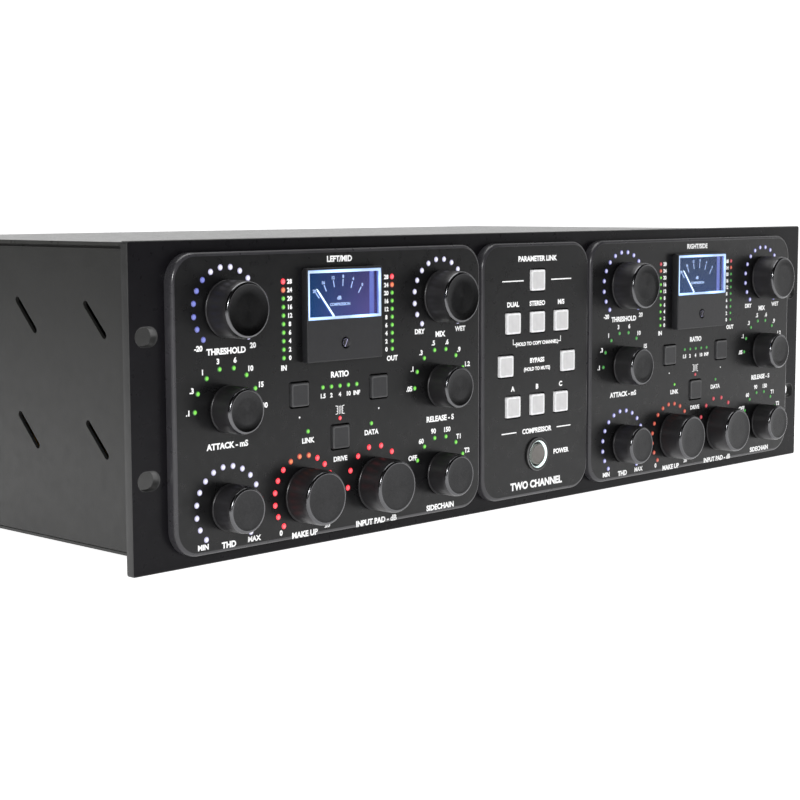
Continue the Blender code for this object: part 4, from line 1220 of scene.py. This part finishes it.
def make_rear_details():
    """Screws, the digital port and the printed names on the rear panel."""
    rear = local_box("rear_panel")[1].y
    head = screw_draw(2.6, 1.6)
    small = screw_draw(1.7, 0.8)
    inlet = "power_inlet"

    def rear_screws(mesh):
        for x in (-210.0, -105.0, 0.0, 105.0, 210.0):
            for z in (-57.0, 57.0):
                head(mesh, x, z, rear)

    def socket_screws(mesh):
        for node in (*NODE_FINISH["socket"], inlet):
            centre, face = middle(node), local_box(node)[1].y
            reach_x, reach_z = (20.0, 0.0) if node == inlet else (9.6, 12.3)
            for sign in (1, -1):
                small(mesh, centre.x + sign * reach_x, centre.z + sign * reach_z, face)

    piece("rear_screws", rear_screws, ["steel"], "screw_steel")
    piece("socket_screws", socket_screws, ["steel"], "screw_steel")
    make_digital_port(rear)
    piece("rear_legends", lambda mesh: rear_words(mesh, rear), ["ink"], "legend_white", angle=30.0)


def make_digital_port(rear):
    """Square serial port for the control link: plated shell, dark cavity floor, tongue with gold contacts."""

    def layers(*rows):
        """Layers from rows of (half width, half height, corner radius, depth behind the panel)."""
        return [(centred(a, b, radius, 4, PORT_X, PORT_Z), rear + depth) for a, b, radius, depth in rows]

    def shell(mesh):
        hole = layers((4.3, 3.9, 1.2, -SKIN), (4.3, 3.9, 1.2, 1.3), (4.5, 4.1, 1.2, 1.5))
        plate(mesh, layers((6.2, 5.6, 0.6, -SKIN), (6.2, 5.6, 0.6, 1.3), (6.0, 5.4, 0.5, 1.5)), [hole])

    def tongue(mesh):
        stack(mesh, layers((4.25, 3.85, 1.2, 0.02), (4.25, 3.85, 1.2, 0.15)))
        stack(mesh, layers((2.9, 1.7, 0.3, 0.16), (2.9, 1.7, 0.3, 1.2)))

    def contacts(mesh):
        for sign in (-1, 1):
            for side in (-1, 1):
                x, z = PORT_X + side * 1.3, PORT_Z + sign * 1.72
                soft_brick(mesh, (x - 0.5, rear + 0.2, z - 0.05), (x + 0.5, rear + 1.15, z + 0.05), 0.02)

    piece("digital_port_shell", shell, ["socket"], "socket_metal", angle=40.0)
    piece("digital_port_tongue", tongue, ["socket_black"], "socket_plastic")
    piece("digital_port_contacts", contacts, ["gold"], "contact_gold")


def rear_words(mesh, rear):
    """Printed names over the rear sockets, turned to be read from behind."""
    labels = [("CONTROL", PORT_X, 17.5), ("MAINS INLET", -165.0, -9.0)]
    for node in NODE_FINISH["socket"]:
        side, way, _ = node.upper().split("_")
        words = f"{side} {way.removesuffix('PUT')}"
        labels.append((words, middle(node).x, local_box(node)[1].z + 3.5))
    for words, x, z in labels:
        add_words(mesh, words, -x, z, 2.6, -rear)
    for vertex in mesh.verts:
        vertex.co.x = -vertex.co.x
        vertex.co.y = -vertex.co.y


# ---------------------------------------------------------------- studio
CAMERA_PLACE = (-663.7, -557.8, 80.8)
CAMERA_PITCH = -6.32
CAMERA_HEADING = -45.80
CAMERA_ROLL = -0.2
CAMERA_LENS = 80.4
FLOOR_REACH = 6.0
WORLD_STOPS = ((0.3, 0.01), (0.52, 0.02), (0.76, 0.3), (0.9, 1.15))  # from front left to back right


def make_camera():
    data = bpy.data.cameras.new("camera")
    data.sensor_width = 36.0
    data.lens = CAMERA_LENS
    data.clip_start = 0.05
    camera = add_object("camera", data)
    camera.location = at(*CAMERA_PLACE)
    turn = Euler((radians(90.0 + CAMERA_PITCH), 0.0, radians(CAMERA_HEADING)))
    roll = Matrix.Rotation(radians(CAMERA_ROLL), 4, "Z")
    camera.rotation_euler = (turn.to_matrix().to_4x4() @ roll).to_euler()
    bpy.context.scene.camera = camera


def area_light(name, place, target, size, power):
    data = bpy.data.lights.new(name, "AREA")
    data.shape = "RECTANGLE"
    data.size, data.size_y = size
    data.energy = power
    lamp = add_object(name, data)
    lamp.location = Vector(place)
    lamp.rotation_euler = (Vector(target) - Vector(place)).to_track_quat("-Z", "Y").to_euler()


def make_floor():
    """A pale paper floor with a painted glow under and behind the unit (painted light that lightens its
    shadow), dim far in front of it and at its left.
    """
    data = bpy.data.meshes.new("floor")
    corners = [(x * FLOOR_REACH, y * FLOOR_REACH, 0.0) for x, y in ((-1, -1), (1, -1), (1, 1), (-1, 1))]
    data.from_pydata(corners, [], [(0, 1, 2, 3)])
    floor = add_object("floor", data)
    finish = Finish("floor_paper", (0.86, 0.86, 0.86), 0.9, 0.0, 0.1)
    finish.mottle(finish.noise(3.0, 2.0), 1.01, 0.99)
    place = finish.split()
    across = finish.spread(place["X"], 0.0, 1.0, -1.3, -0.7)
    along = finish.spread(place["Y"], 0.0, 0.95, -0.85, -0.45)
    # Painted light: the floor glows under and behind the unit.
    finish.set("Emission Color", (1.0, 1.0, 1.0, 1.0))
    finish.feed("Emission Strength", finish.combine("MULTIPLY", across, along))
    data.materials.append(finish.made)


def make_world():
    """A bright wall behind the unit to its right, and a dark room in front of it to its left."""
    world = bpy.data.worlds.new("studio")
    bpy.context.scene.world = world
    nodes = Nodes(world)
    along = nodes.add("ShaderNodeVectorMath", operation="DOT_PRODUCT")
    along.inputs[1].default_value = (0.707, 0.707, 0.0)
    nodes.link(nodes.add("ShaderNodeTexCoord").outputs["Generated"], along.inputs[0])
    level = nodes.add("ShaderNodeValToRGB")
    stops = level.color_ramp.elements
    stops[0].position, stops[1].position = WORLD_STOPS[0][0], WORLD_STOPS[1][0]
    for place, _ in WORLD_STOPS[2:]:
        stops.new(place)
    for stop, (_, value) in zip(stops, WORLD_STOPS):
        stop.color = (value, value, value, 1.0)
    nodes.link(nodes.spread(along.outputs["Value"], 0.0, 1.0, -1.0, 1.0), level.inputs["Fac"])
    nodes.link(level.outputs["Color"], nodes.tree.nodes["Background"].inputs["Color"])


def make_studio():
    make_floor()
    make_world()
    area_light("overhead", (0.0, 0.1, 1.25), (0.0, 0.05, 0.0), (1.1, 0.9), 9.0)
    area_light("right_softbox", (1.05, -0.6, 0.28), (0.1, -0.1, 0.07), (0.6, 0.5), 1.0)
    area_light("front_spark", (-0.95, -1.02, 0.48), (0.0, -0.1, 0.07), (0.16, 0.16), 9.0)
    scene = bpy.context.scene
    scene.view_settings.view_transform = "Standard"
    scene.view_settings.look = "None"


def main():
    make_camera()
    make_studio()
    dress_nodes()
    make_panel()
    for node, side in (("left_fascia", "left"), ("right_fascia", "right"), ("centre_fascia", None)):
        make_fascia(node, side)
    make_knobs()
    make_buttons()
    make_power_button()
    make_lights()
    make_legends()
    make_meters()
    make_rear_details()


main()
